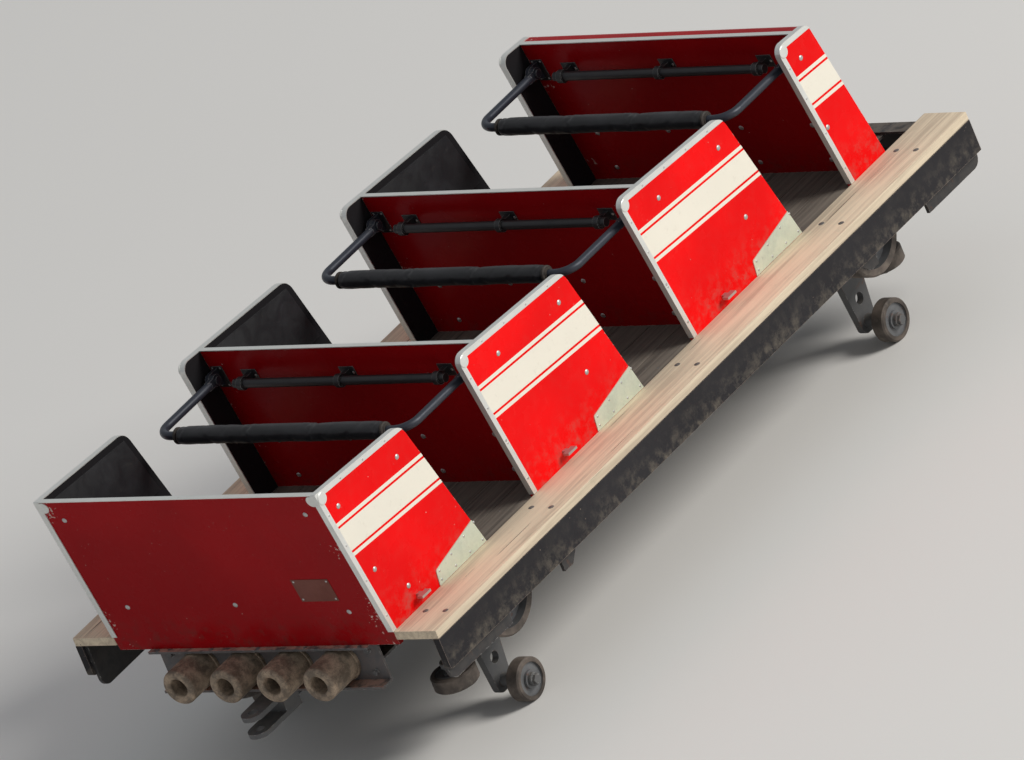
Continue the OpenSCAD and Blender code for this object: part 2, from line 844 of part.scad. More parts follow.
// Axle box under the sill: a foot, a neck and a round cap under the axle, split at the axle's height
module axle_box(y, t) {
    cap_r = axle_d / 2 + cap_wall;
    lug = cap_r + 22;
    across(y, t) intersection() {
        union() {
            polygon(rounded(
                [
                    [-foot_l / 2, box_top], [-foot_l / 2, box_top - foot_t],
                    [-cap_r - 4, box_top - foot_t], [-cap_r, axle_z],
                    [cap_r, axle_z], [cap_r + 4, box_top - foot_t],
                    [foot_l / 2, box_top - foot_t], [foot_l / 2, box_top]
                ],
                [0, 4, 10, 0, 0, 10, 4, 0], 4
            ));
            translate([0, axle_z]) circle(r = cap_r);
            translate([-lug, axle_z - 9]) square([2 * lug, 18]);
        }
        translate([-foot_l, 0]) square([2 * foot_l, box_top]);
    }
}

// Plate that carries the upstop's pin below the axle box, with a rib on its inner face
module drop_plate(y1) {
    foot = truck_pin_r + drop_wall;
    low = upstop_z - foot + 2;
    half = drop_l / 2;
    across(y1 - drop_t, drop_t) difference() {
        polygon(rounded(
            [
                [-foot, low], [foot, low], [half, box_low], [half, box_top - foot_t],
                [-half, box_top - foot_t], [-half, box_low]
            ],
            [drop_wall, drop_wall, drop_bend, 0, 0, drop_bend]
        ));
        translate([0, (upstop_z + arm_z) / 2]) circle(r = 20);
    }
    translate([rib_t / 2, 0, 0]) rotate([0, -90, 0]) linear_extrude(rib_t)
        polygon([
            [arm_z + 2, y1 - drop_t - 12], [box_low + 2, y1 - box_w + 4],
            [box_low + 2, y1 - drop_t + 1], [arm_z + 2, y1 - drop_t + 1]
        ]);
}

// Arm to the guide's pin, with a rib above it
module guide_arm(ahead, y1) {
    gx = ahead * guide_set;
    root = drop_l / 2 - 22;
    translate([0, 0, arm_z]) linear_extrude(arm_t) hull() {
        translate([gx, guide_y]) circle(r = boss_r);
        translate([-root, y1 - arm_root]) square([2 * root, arm_root]);
    }
    across(y1 - drop_t + 5, rib_t)
        polygon([
            [0, arm_z + arm_t - 1], [ahead * (guide_set - 8), arm_z + arm_t - 1],
            [ahead * (guide_set - 8), arm_z + arm_t + 6], [ahead * (drop_l / 2 - 4), box_low - 6],
            [0, box_low - 6]
        ]);
}

module truck(x, ahead) {
    y0 = sill_y - box_w / 2;
    y1 = sill_y + box_w / 2;
    gx = ahead * guide_set;
    collar_r = truck_pin_r + pin_collar;
    up0 = upstop_y - upstop_w / 2 - 1 - side_gap;
    up1 = upstop_y + upstop_w / 2 + 1 + side_gap;
    g0 = guide_z - guide_w / 2 - 1 - side_gap;
    g1 = guide_z + guide_w / 2 + 1 + side_gap;
    color(STEEL) translate([x, 0, 0]) difference() {
        union() {
            axle_box(y0, box_w);
            drop_plate(y1);
            guide_arm(ahead, y1);
            rod_y(0, upstop_z, truck_pin_r, y1 - 1, up1 + nut_h);
            rod_y(0, upstop_z, collar_r, y1 - 1, up0);
            rod_y(0, upstop_z, collar_r, up1, up1 + nut_h);
            translate([gx, guide_y, g0 - nut_h]) cylinder(r = truck_pin_r, h = arm_z - g0 + nut_h + 1);
            translate([gx, guide_y, g1]) cylinder(r = collar_r, h = arm_z - g1 + 1);
            translate([gx, guide_y, g0 - nut_h]) cylinder(r = collar_r, h = nut_h);
        }
        rod_y(0, axle_z, axle_d / 2 + axle_fit, y0 - 1, y1 + 1);
    }
}

module guide_wheel(x, ahead, side) {
    color(BLACK) translate([x + ahead * guide_set, side * guide_y, guide_z])
        small_wheel(guide_d, guide_w, truck_pin_r + run_fit);
}

module upstop_wheel(x, side) {
    color(BLACK) translate([x, side * upstop_y, upstop_z]) rotate([90, 0, 0])
        small_wheel(upstop_d, upstop_w, truck_pin_r + run_fit);
}

// Dogs that catch the lift chain and the ratchet between the rails
dog_t = 30;
dog_foot = 90;
dog_reach = 135;
dog_drop = 50;                         // of the tip below the rails' tops
dog_heel = 40;
dog_neck = 70;
dog_hook = 50;
module chain_dogs() {
    pad_z = sill_z - cross_h;
    tip_z = rail_z - dog_drop;
    half = dog_foot / 2;
    color(STEEL) for (x = [CROSS[1], CROSS[2]])
        translate([x, 0, 0]) across(-dog_t / 2, dog_t)
            polygon(rounded(
                [
                    [-half, pad_z], [-half, pad_z - dog_heel],
                    [15 - dog_reach, tip_z + dog_heel], [-dog_reach, tip_z],
                    [dog_hook - dog_reach, tip_z + 6], [20, pad_z - dog_neck],
                    [half, pad_z - dog_heel + 10], [half, pad_z]
                ],
                [0, 10, 20, 6, 10, 40, 10, 0]
            ));
}

side_sills();
cross_members();
outriggers();
floor_deck();
running_board();  // running_board_left
mirror([0, 1, 0]) running_board();  // running_board_right
fascia();  // fascia_left
mirror([0, 1, 0]) fascia();  // fascia_right
side_plate();  // side_plate_left
mirror([0, 1, 0]) side_plate();  // side_plate_right
rear_beam();
rear_buffers();
front_beam();
rear_panel();
seat_back(1);  // seat_back_2
seat_back(2);  // seat_back_3
dash();
side_panels();  // side_panels_left
mirror([0, 1, 0]) side_panels();  // side_panels_right
kick_plates();
edge_trims();
seat_boards();
seat_risers();
seat_cushion(BACKS[0]);  // seat_cushion_1
seat_cushion(BACKS[1]);  // seat_cushion_2
seat_cushion(BACKS[2]);  // seat_cushion_3
back_cushions();
grab_bars();
grab_bar_posts();
lap_bar_brackets();
release_pedals();
both_sides() truck(x_axle_front, 1);  // truck_brackets_front
both_sides() truck(x_axle_rear, -1);  // truck_brackets_rear
wheelset(x_axle_front);  // wheelset_front
wheelset(x_axle_rear);  // wheelset_rear
guide_wheel(x_axle_front, 1, 1);  // guide_wheel_fl
guide_wheel(x_axle_front, 1, -1);  // guide_wheel_fr
guide_wheel(x_axle_rear, -1, 1);  // guide_wheel_rl
guide_wheel(x_axle_rear, -1, -1);  // guide_wheel_rr
upstop_wheel(x_axle_front, 1);  // upstop_wheel_fl
upstop_wheel(x_axle_front, -1);  // upstop_wheel_fr
upstop_wheel(x_axle_rear, 1);  // upstop_wheel_rl
upstop_wheel(x_axle_rear, -1);  // upstop_wheel_rr
lap_bar(0);  // lap_bar_1
lap_bar(1);  // lap_bar_2
lap_bar(2);  // lap_bar_3
lap_pad(0);  // lap_pad_1
lap_pad(1);  // lap_pad_2
lap_pad(2);  // lap_pad_3
drawbar();
rear_clevis();
chain_dogs();
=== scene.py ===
"""Looks of the wooden roller coaster car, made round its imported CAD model. Metres, +X is ahead."""

import math

import bmesh
import bpy
from mathutils import Matrix, Vector
from mathutils.bvhtree import BVHTree
from mathutils.geometry import convex_hull_2d


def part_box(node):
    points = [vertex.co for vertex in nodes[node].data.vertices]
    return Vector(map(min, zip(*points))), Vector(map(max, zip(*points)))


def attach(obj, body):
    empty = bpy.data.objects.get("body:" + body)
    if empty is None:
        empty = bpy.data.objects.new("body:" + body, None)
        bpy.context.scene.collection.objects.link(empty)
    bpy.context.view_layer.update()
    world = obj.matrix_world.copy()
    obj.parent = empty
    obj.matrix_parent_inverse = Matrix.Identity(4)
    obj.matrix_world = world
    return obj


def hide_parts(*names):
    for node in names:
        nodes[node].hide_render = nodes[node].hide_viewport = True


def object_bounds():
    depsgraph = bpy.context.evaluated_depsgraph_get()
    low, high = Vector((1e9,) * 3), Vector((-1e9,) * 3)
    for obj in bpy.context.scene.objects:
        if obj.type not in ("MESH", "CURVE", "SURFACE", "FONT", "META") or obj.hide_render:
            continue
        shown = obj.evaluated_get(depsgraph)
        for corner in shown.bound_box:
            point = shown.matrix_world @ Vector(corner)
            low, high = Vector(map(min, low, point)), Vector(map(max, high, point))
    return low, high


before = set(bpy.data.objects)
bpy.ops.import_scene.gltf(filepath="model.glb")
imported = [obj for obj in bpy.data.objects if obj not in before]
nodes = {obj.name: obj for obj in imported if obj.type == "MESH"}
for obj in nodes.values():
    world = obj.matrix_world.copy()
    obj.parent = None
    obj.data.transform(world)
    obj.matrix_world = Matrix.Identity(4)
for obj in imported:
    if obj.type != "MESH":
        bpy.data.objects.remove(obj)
cad_low, cad_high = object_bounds()
X, Y, Z = Vector((1, 0, 0)), Vector((0, 1, 0)), Vector((0, 0, 1))

# Camera: its axes in the car's frame, as in the photograph, and how far off it stands
VIEW_RIGHT = Vector((0.5411, -0.7629, -0.3539)).normalized()
VIEW_UP = Vector((0.5256, -0.0218, 0.8505)).normalized()
CAMERA_DISTANCE = 83.0
VIEW_MARGIN = 1.07
FRAME_W, FRAME_H = 1024, 760
SENSOR_W = 0.036

# Slopes that the panels share with the CAD model
LEAN = math.tan(math.radians(9))
TOP_FALL = math.tan(math.radians(3.5))

# Bands painted on the side panels: distances below the top edge
FINE_BAND = 0.012
BAND_GAP = 0.008
BAND_TOP = 0.123
BAND_BOTTOM = 0.249
PAINT_T = 0.0006
TRIM_LIP = 0.016
TRIM_T = 0.003

# How deep a thin thing laid on a face reaches into it
BITE = 0.0005

# Colours, linear
RED = (0.86, 0.003, 0.004)
# The side panels' red, darkened as painted shade, for the rear panel, seat backs, dash and risers, which face
# away from the light
RED_IN_PAINTED_SHADE = (0.33, 0.003, 0.006)
CREAM = (0.86, 0.82, 0.71)
ALUMINIUM = (0.82, 0.83, 0.80)
SCUFFED = (0.74, 0.80, 0.67)
BOARD_LIGHT = (0.82, 0.69, 0.51)
BOARD_DARK = (0.52, 0.42, 0.31)
DECK_LIGHT = (0.20, 0.17, 0.14)
DECK_DARK = (0.08, 0.068, 0.058)
BLACK = (0.022, 0.021, 0.023)
DUST = (0.22, 0.19, 0.15)
STEEL = (0.23, 0.235, 0.245)
BAR_STEEL = (0.035, 0.040, 0.055)
RUST = (0.20, 0.075, 0.030)
VINYL = (0.012, 0.012, 0.014)
WORN_RUBBER = (0.42, 0.32, 0.23)
TYRE = (0.045, 0.036, 0.030)
ZINC = (0.55, 0.55, 0.54)
PLATE_METAL = (0.18, 0.052, 0.036)
CHIPPED_RED = (0.55, 0.36, 0.32)
CHIPPED_BLACK = (0.24, 0.19, 0.16)
RED_DIRT = (0.105, 0.040, 0.032)
WORN_CREAM = (0.42, 0.37, 0.30)
METAL_DIRT = (0.12, 0.105, 0.09)
RUBBED_METAL = (0.70, 0.70, 0.68)
BARE_STEEL = (0.45, 0.45, 0.44)
# Pale reddish top of the rear beam: partly dust and faded red primer, partly painted sunlight on its upward
# faces
BEAM_DUST_AND_LIGHT = (0.52, 0.31, 0.24)
MOSS = (0.17, 0.16, 0.11)
FLOOR = (0.80, 0.79, 0.77)
SKY_LIGHT = (0.93, 0.96, 1.0)
LAMP_LIGHT = (1.0, 0.97, 0.92)


# Materials

class Graph:
    """Builds one material's nodes. Patterns are placed in the car's frame, in metres."""

    def __init__(self, name):
        self.material = bpy.data.materials.new(name)
        self.material.use_nodes = True
        self.tree = self.material.node_tree
        self.shader = self.tree.nodes["Principled BSDF"]
        self.place = self.node("ShaderNodeTexCoord").outputs["Object"]

    def node(self, kind, **settings):
        made = self.tree.nodes.new(kind)
        for key, value in settings.items():
            setattr(made, key, value)
        return made

    def put(self, socket, value):
        if isinstance(value, bpy.types.NodeSocket):
            self.tree.links.new(value, socket)
        elif hasattr(socket.default_value, "__len__") and len(socket.default_value) == 4:
            socket.default_value = (*value, 1.0)
        else:
            socket.default_value = value

    def set(self, **values):
        for key, value in values.items():
            self.put(self.shader.inputs[key.replace("_", " ")], value)
        return self.material

    def calc(self, op, a, b=0.0):
        made = self.node("ShaderNodeMath", operation=op)
        self.put(made.inputs[0], a)
        self.put(made.inputs[1], b)
        return made.outputs[0]

    def fit(self, value, start, end, low=0.0, high=1.0):
        """Carries start..end smoothly to low..high, held at both ends."""
        made = self.node("ShaderNodeMapRange", interpolation_type="SMOOTHSTEP")
        for socket, v in zip(made.inputs, (value, start, end, low, high)):
            self.put(socket, v)
        return made.outputs[0]

    def mix(self, a, b, share):
        made = self.node("ShaderNodeMix", data_type="RGBA")
        self.put(made.inputs[0], share)
        self.put(made.inputs[6], a)
        self.put(made.inputs[7], b)
        return made.outputs[2]

    def axis(self, index):
        """x, y or z in the car's frame."""
        made = self.node("ShaderNodeSeparateXYZ")
        self.put(made.inputs[0], self.place)
        return made.outputs[index]

    def spread(self, scale, seed=0.0):
        """The place, stretched by scale and shifted by seed."""
        made = self.node("ShaderNodeMapping")
        self.put(made.inputs["Vector"], self.place)
        made.inputs["Scale"].default_value = scale if isinstance(scale, tuple) else (scale,) * 3
        made.inputs["Location"].default_value = (seed, seed * 1.7, seed * 2.3)
        return made.outputs[0]

    def noise(self, scale, detail, rough=0.55, warp=0.0, seed=0.0):
        made = self.node("ShaderNodeTexNoise")
        self.put(made.inputs["Vector"], self.spread(scale, seed))
        made.inputs["Scale"].default_value = 1.0
        made.inputs["Detail"].default_value = detail
        made.inputs["Roughness"].default_value = rough
        made.inputs["Distortion"].default_value = warp
        return made.outputs["Fac"]

    def cells(self, scale, feature="F1"):
        made = self.node("ShaderNodeTexVoronoi", feature=feature)
        self.put(made.inputs["Vector"], self.spread(scale))
        made.inputs["Scale"].default_value = 1.0
        return made.outputs["Distance"]

    def island(self):
        """A number from 0 to 1 that differs between the loose pieces of a mesh."""
        return self.node("ShaderNodeNewGeometry").outputs["Random Per Island"]

    def edges(self, width):
        """1 along sharp edges, 0 away from them."""
        bevel = self.node("ShaderNodeBevel", samples=4)
        bevel.inputs["Radius"].default_value = width
        dot = self.node("ShaderNodeVectorMath", operation="DOT_PRODUCT")
        self.put(dot.inputs[0], bevel.outputs[0])
        self.put(dot.inputs[1], self.node("ShaderNodeNewGeometry").outputs["Normal"])
        return self.fit(dot.outputs["Value"], 0.995, 0.88)

    def bump(self, height, strength, depth):
        made = self.node("ShaderNodeBump")
        made.inputs["Strength"].default_value = strength
        made.inputs["Distance"].default_value = depth
        self.put(made.inputs["Height"], height)
        return made.outputs[0]


def scaled(colour, share):
    return tuple(c * share for c in colour)


def enamel(name, colour, low_z, wear=1.0, inside=0.0, chipped_y=0.0, chip_colour=CHIPPED_RED,
           dirt_colour=DUST):
    """Gloss paint with orange peel, faded patches, dirt towards low_z and chips along its edges.

    Closer to the middle of the car than inside it is black. Past chipped_y it has lost more paint.
    """
    g = Graph(name)
    off_side = g.calc("ABSOLUTE", g.axis(1))
    base = g.mix(scaled(colour, 0.90), scaled(colour, 1.06), g.fit(g.noise(2.3, 2.0), 0.35, 0.68))
    grime = g.calc("MULTIPLY", g.fit(g.noise(26.0, 6.0, 0.7), 0.42, 0.75),
                   g.fit(g.axis(2), low_z + 0.16, low_z, 0.04, 0.42 * wear))
    base = g.mix(base, dirt_colour, grime)
    edge = g.edges(0.003)
    loss = g.calc("MULTIPLY", edge, 0.17 * wear)
    if chipped_y:
        blotch = g.fit(g.noise(9.0, 3.0, seed=21.0), 0.50, 0.62)
        outer = g.fit(off_side, chipped_y, chipped_y + 0.1, 0.0, 0.17)
        loss = g.calc("ADD", loss, g.calc("MULTIPLY", blotch, outer))
    chip = g.fit(g.calc("ADD", g.noise(85.0, 3.0, 0.6, seed=3.1), loss), 0.735, 0.76)
    base = g.mix(base, chip_colour, chip)
    if inside:
        base = g.mix(scaled(BLACK, 0.8), base, g.fit(off_side, inside + 0.0003, inside + 0.0009))
    scratch = g.fit(g.noise((6.0, 6.0, 210.0), 2.0, seed=8.0), 0.70, 0.76, 0.0, 0.14)
    height = g.calc("SUBTRACT", g.noise(320.0, 1.0), g.calc("MULTIPLY", chip, 2.0))
    rough = g.calc("ADD", g.fit(g.noise(9.0, 4.0), 0.3, 0.8, 0.20, 0.36), scratch)
    return g.set(Base_Color=base, Roughness=g.calc("ADD", rough, g.calc("MULTIPLY", grime, 0.5)),
                 Coat_Weight=0.02, Coat_Roughness=0.08, Specular_IOR_Level=0.07,
                 Normal=g.bump(height, 0.10, 0.0006))


def band_paint():
    """Cream paint, worn in spots."""
    g = Graph("band_cream")
    worn = g.fit(g.noise(38.0, 6.0, 0.72), 0.55, 0.80, 0.0, 0.30)
    base = g.mix(g.mix(CREAM, scaled(CREAM, 0.90), g.noise(5.0, 3.0)), WORN_CREAM, worn)
    return g.set(Base_Color=base, Roughness=0.42, Normal=g.bump(g.noise(300.0, 1.0), 0.08, 0.0005))


def bare_metal(name, colour, rough, scuff, metallic, brushed=(4.0, 260.0, 260.0), edge_shine=0.0):
    """Metal with a drawn grain, dull patches, dirt in spots and, with edge_shine, rubbed edges."""
    g = Graph(name)
    patch = g.fit(g.noise(11.0, 5.0, 0.65), 0.36, 0.72)
    grain = g.noise(brushed, 2.0)
    base = g.mix(colour, scaled(colour, 0.72), g.calc("MULTIPLY", patch, scuff))
    dirt = g.fit(g.noise(60.0, 5.0, 0.7, seed=5.0), 0.60, 0.80, 0.0, scuff * 0.7)
    base = g.mix(base, METAL_DIRT, dirt)
    if edge_shine:
        base = g.mix(base, RUBBED_METAL, g.calc("MULTIPLY", g.edges(0.002), edge_shine))
    roughness = g.calc("ADD", g.fit(patch, 0.0, 1.0, rough, rough + 0.16), g.calc("MULTIPLY", grain, 0.08))
    return g.set(Base_Color=base, Metallic=metallic, Roughness=roughness,
                 Normal=g.bump(g.calc("ADD", grain, g.calc("MULTIPLY", dirt, -0.8)), 0.12, 0.0004))


def working_steel(name, colour, rust, grease, dust_and_light_share, dust_and_light_colour=DUST):
    """Painted steel of the running gear: chipped, greasy, dusty on top and rusty at the edges; on the rear
    beam the pale top is also painted sunlight.
    """
    g = Graph(name)
    edge = g.edges(0.004)
    patch = g.noise(18.0, 6.0, 0.68, warp=0.4)
    rusty = g.fit(g.calc("ADD", patch, g.calc("MULTIPLY", edge, 0.16)), 0.60, 0.72, 0.0, rust)
    worn = g.calc("ADD", g.noise(70.0, 3.0, seed=4.0), g.calc("MULTIPLY", edge, 0.22))
    bright = g.fit(worn, 0.74, 0.80, 0.0, 0.8)
    base = g.mix(scaled(colour, 0.75), scaled(colour, 1.25), g.noise(7.0, 4.0))
    base = g.mix(base, RUST, rusty)
    upward = g.node("ShaderNodeSeparateXYZ")
    g.put(upward.inputs[0], g.node("ShaderNodeNewGeometry").outputs["Normal"])
    # Upward faces take the top colour: dust, and on the rear beam painted sunlight as well
    on_top = g.fit(upward.outputs[2], 0.2, 0.95, 0.08, dust_and_light_share)
    dust_and_light = g.calc("MULTIPLY", on_top, g.fit(g.noise(34.0, 5.0), 0.3, 0.6))
    base = g.mix(base, dust_and_light_colour, dust_and_light)
    base = g.mix(base, BARE_STEEL, bright)
    oil = g.fit(g.noise(5.0, 3.0, seed=9.0), 0.45, 0.62, 0.0, grease)
    roughness = g.calc("ADD", 0.62, g.calc("MULTIPLY", rusty, 0.3))
    roughness = g.calc("SUBTRACT", roughness, g.calc("MULTIPLY", oil, 0.30))
    return g.set(Base_Color=base, Metallic=g.calc("MULTIPLY", bright, 0.9), Roughness=roughness,
                 Normal=g.bump(g.calc("ADD", patch, g.noise(240.0, 3.0)), 0.22, 0.0012))


def timber(name, light, dark, along=0):
    """Weathered boards, a different tone for each: long grain along axis number along, checks and moss."""
    g = Graph(name)
    tone = g.island()
    shift = g.node("ShaderNodeVectorMath", operation="ADD")
    g.put(shift.inputs[0], g.place)
    spots = g.node("ShaderNodeCombineXYZ")
    for i in range(3):
        g.put(spots.inputs[i], g.calc("MULTIPLY", tone, 13.0 + 5 * i))
    g.put(shift.inputs[1], spots.outputs[0])
    g.place = shift.outputs[0]

    def run(long, cross):
        return tuple(long if i == along else cross for i in range(3))

    grain = g.noise(run(2.2, 62.0), 6.0, 0.65, warp=0.5)
    fine = g.noise(run(9.0, 420.0), 3.0, 0.6, seed=2.0)
    broad = g.noise(run(1.1, 9.0), 3.0, seed=6.0)
    base = g.mix(dark, light, g.fit(grain, 0.30, 0.66))
    base = g.mix(base, scaled(dark, 0.62), g.fit(fine, 0.56, 0.74, 0.0, 0.55))
    base = g.mix(base, scaled(light, 1.18), g.fit(broad, 0.52, 0.72, 0.0, 0.5))
    base = g.mix(base, scaled(light, 0.62), g.fit(tone, 0.0, 1.0, 0.0, 0.38))
    check = g.fit(g.noise(run(1.6, 95.0), 2.0, 0.5, seed=11.0), 0.705, 0.735)
    base = g.mix(base, scaled(dark, 0.25), check)
    moss = g.fit(g.noise(7.0, 6.0, 0.7, seed=14.0), 0.60, 0.78, 0.0, 0.35)
    base = g.mix(base, MOSS, moss)
    height = g.calc("ADD", grain, g.calc("MULTIPLY", fine, 0.5))
    height = g.calc("SUBTRACT", height, g.calc("MULTIPLY", check, 1.6))
    return g.set(Base_Color=base, Roughness=g.fit(grain, 0.2, 0.8, 0.72, 0.90),
                 Normal=g.bump(height, 0.55, 0.0016))


def vinyl():
    """Black grained seat cloth with creases, dust and rubbed high spots."""
    g = Graph("seat_vinyl")
    grain = g.cells(430.0)
    crease = g.noise((14.0, 5.0, 14.0), 5.0, 0.6, warp=1.2)
    rubbed = g.fit(g.noise(6.0, 4.0, seed=2.0), 0.45, 0.75, 0.0, 0.5)
    base = g.mix(VINYL, scaled(VINYL, 2.6), rubbed)
    base = g.mix(base, DUST, g.fit(g.noise(30.0, 6.0, 0.7, seed=7.0), 0.60, 0.85, 0.0, 0.16))
    height = g.calc("ADD", g.calc("MULTIPLY", grain, 0.35), crease)
    return g.set(Base_Color=base, Roughness=g.fit(crease, 0.3, 0.7, 0.36, 0.52),
                 Sheen_Weight=0.04, Normal=g.bump(height, 0.30, 0.0012))


def rubber(name, colour, dark, scale=24.0):
    """Rubber that goes from dark to colour in patches, with fine cracks."""
    g = Graph(name)
    worn = g.fit(g.noise(scale, 6.0, 0.68), 0.36, 0.66)
    base = g.mix(dark, colour, worn)
    cracks = g.fit(g.cells(scale * 3, "DISTANCE_TO_EDGE"), 0.04, 0.0, 0.0, 0.5)
    base = g.mix(base, scaled(dark, 0.4), cracks)
    return g.set(Base_Color=base, Roughness=g.fit(worn, 0.0, 1.0, 0.62, 0.82),
                 Normal=g.bump(g.calc("ADD", worn, g.noise(300.0, 3.0)), 0.30, 0.0010))


def wheel_finish(name, centre, axis, tyre_from):
    """Steel wheel with a tyre outside the radius tyre_from, both worn; centre and axis are the shaft's."""
    g = Graph(name)
    offset = g.node("ShaderNodeVectorMath", operation="SUBTRACT")
    g.put(offset.inputs[0], g.place)
    g.put(offset.inputs[1], centre)
    flat = g.node("ShaderNodeVectorMath", operation="MULTIPLY")
    g.put(flat.inputs[0], offset.outputs[0])
    g.put(flat.inputs[1], tuple(0.0 if a else 1.0 for a in axis))
    length = g.node("ShaderNodeVectorMath", operation="LENGTH")
    g.put(length.inputs[0], flat.outputs[0])
    r = length.outputs["Value"]
    tyre = g.fit(r, tyre_from - 0.0006, tyre_from + 0.0006)
    worn = g.noise(32.0, 6.0, 0.68)
    steel = g.mix(scaled(STEEL, 0.45), scaled(STEEL, 1.1), worn)
    steel = g.mix(steel, RUST, g.fit(g.noise(40.0, 5.0, seed=3.0), 0.56, 0.72, 0.0, 0.5))
    ring = g.noise(14.0, 5.0, seed=5.0)
    tread = g.mix(TYRE, scaled(TYRE, 3.2), g.fit(ring, 0.35, 0.72))
    tread = g.mix(tread, DUST, g.fit(g.noise(50.0, 5.0, seed=8.0), 0.52, 0.78, 0.0, 0.5))
    return g.set(Base_Color=g.mix(steel, tread, tyre),
                 Metallic=g.fit(tyre, 0.0, 1.0, 0.55, 0.0),
                 Roughness=g.calc("ADD", g.fit(tyre, 0.0, 1.0, 0.42, 0.58), g.calc("MULTIPLY", worn, 0.2)),
                 Normal=g.bump(g.calc("ADD", worn, g.noise(260.0, 2.0)), 0.25, 0.0010))


def floor_finish():
    g = Graph("studio_floor")
    base = g.mix(scaled(FLOOR, 0.97), FLOOR, g.noise(0.5, 3.0))
    return g.set(Base_Color=base, Roughness=0.85, Specular_IOR_Level=0.2)


# Shapes

class Bag:
    """Collects like small shapes, to be made as one joined mesh."""

    def __init__(self):
        self.points = []
        self.faces = []

    def rings(self, rings, closed=False):
        """Skins a row of rings that have as many points each."""
        n = len(rings[0])
        count = len(rings)
        faces = []
        for i in range(count if closed else count - 1):
            a, b = i * n, (i + 1) % count * n
            faces += [(a + j, a + (j + 1) % n, b + (j + 1) % n, b + j) for j in range(n)]
        if not closed:
            faces += [tuple(range(n)), tuple((count - 1) * n + j for j in range(n))]
        start = len(self.points)
        self.points += [p for ring in rings for p in ring]
        self.faces += [tuple(start + i for i in face) for face in faces]

    def lathe(self, place, axis, profile, sides):
        """Turns pairs of radius and height about the axis."""
        u = axis.orthogonal().normalized()
        v = axis.cross(u)
        circle = [2 * math.pi * i / sides for i in range(sides)]
        self.rings([[place + axis * h + (u * math.cos(a) + v * math.sin(a)) * r for a in circle]
                    for r, h in profile])

    def tube(self, path, r, sides=8, closed=False):
        """A round bar of radius r along a path."""
        rings = []
        count = len(path)
        side = None
        for i, p in enumerate(path):
            before = path[i - 1] if closed or i else p
            after = path[(i + 1) % count] if closed or i + 1 < count else p
            along = (after - before).normalized()
            side = (side or along.orthogonal()) - along * along.dot(side or along.orthogonal())
            side.normalize()
            up = along.cross(side)
            rings.append([p + (side * math.cos(a) + up * math.sin(a)) * r
                          for a in [2 * math.pi * j / sides for j in range(sides)]])
        self.rings(rings, closed)

    def box(self, low, high):
        corners = ((low[0], low[1]), (high[0], low[1]), (high[0], high[1]), (low[0], high[1]))
        self.rings([[Vector((x, y, z)) for x, y in corners] for z in (low[2], high[2])])

    def prism(self, outline, y0, y1):
        """A flat piece from an outline in X and Z."""
        self.rings([[Vector((x, y, z)) for x, z in outline] for y in (y0, y1)])

    def slab(self, centre, u, v, half_u, half_v, t):
        """A plate on a sloping face, t thick along u x v."""
        n = u.cross(v).normalized()
        flat = [centre + u * a * half_u + v * b * half_v for a, b in ((-1, -1), (1, -1), (1, 1), (-1, 1))]
        self.rings([flat, [p + n * t for p in flat]])

    def dome(self, place, axis, r, h, sides=16):
        """A bolt or rivet with a round head."""
        profile = [(r, 0), (r, 0.25 * h), (0.86 * r, 0.62 * h), (0.5 * r, 0.92 * h), (0.001, h)]
        self.lathe(place - axis * BITE, axis, profile, sides)

    def hex(self, place, axis, r, h):
        """A hexagon head or nut on a washer."""
        washer = [(1.25 * r, 0), (1.25 * r, 0.0025), (0.6 * r, 0.003)]
        head = [(r, 0.002), (r, h - 0.0015), (0.88 * r, h), (0.3 * r, h)]
        self.lathe(place - axis * BITE, axis, washer, 20)
        self.lathe(place, axis, head, 6)

    def form(self):
        """All that was collected, with its faces turned outwards."""
        bm = bmesh.new()
        verts = [bm.verts.new(p) for p in self.points]
        for face in self.faces:
            bm.faces.new([verts[i] for i in face]).smooth = True
        bmesh.ops.recalc_face_normals(bm, faces=bm.faces)
        return bm

    def make(self, name, body, slot, material, bevel=0.0, angle=35):
        """A piece on a body, with its sharp edges rounded by bevel."""
        bm = self.form()
        if bevel:
            sharp = [e for e in bm.edges if len(e.link_faces) == 2 and e.calc_face_angle(0) > 0.6]
            bmesh.ops.bevel(bm, geom=sharp, offset=bevel, segments=2, profile=0.6, affect="EDGES",
                            clamp_overlap=True)
        mesh = bpy.data.meshes.new(name)
        bm.to_mesh(mesh)
        bm.free()
        mesh.set_sharp_from_angle(angle=math.radians(angle))
        return piece(name, mesh, body, material)


def piece(name, mesh, body, material):
    """An object with that mesh, which rides on a body."""
    mesh.materials.clear()
    mesh.materials.append(material)
    obj = bpy.data.objects.new(name, mesh)
    bpy.context.scene.collection.objects.link(obj)
    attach(obj, body)
    return obj


def dress(material, *names):
    """Gives CAD nodes a finish."""
    for name in names:
        obj = nodes[name]
        if not obj.material_slots:
            obj.data.materials.append(material)
        for place in obj.material_slots:
            place.material = material


def clip(outline, point, inward):
    """What lies on the inward side of the line through point, of an outline in X and Z."""
    kept = []
    for a, b in zip(outline, outline[1:] + outline[:1]):
        da, db = (a - point).dot(inward), (b - point).dot(inward)
        if da >= 0:
            kept.append(a)
        if da * db < 0:
            kept.append(a.lerp(b, da / (da - db)))
    return kept


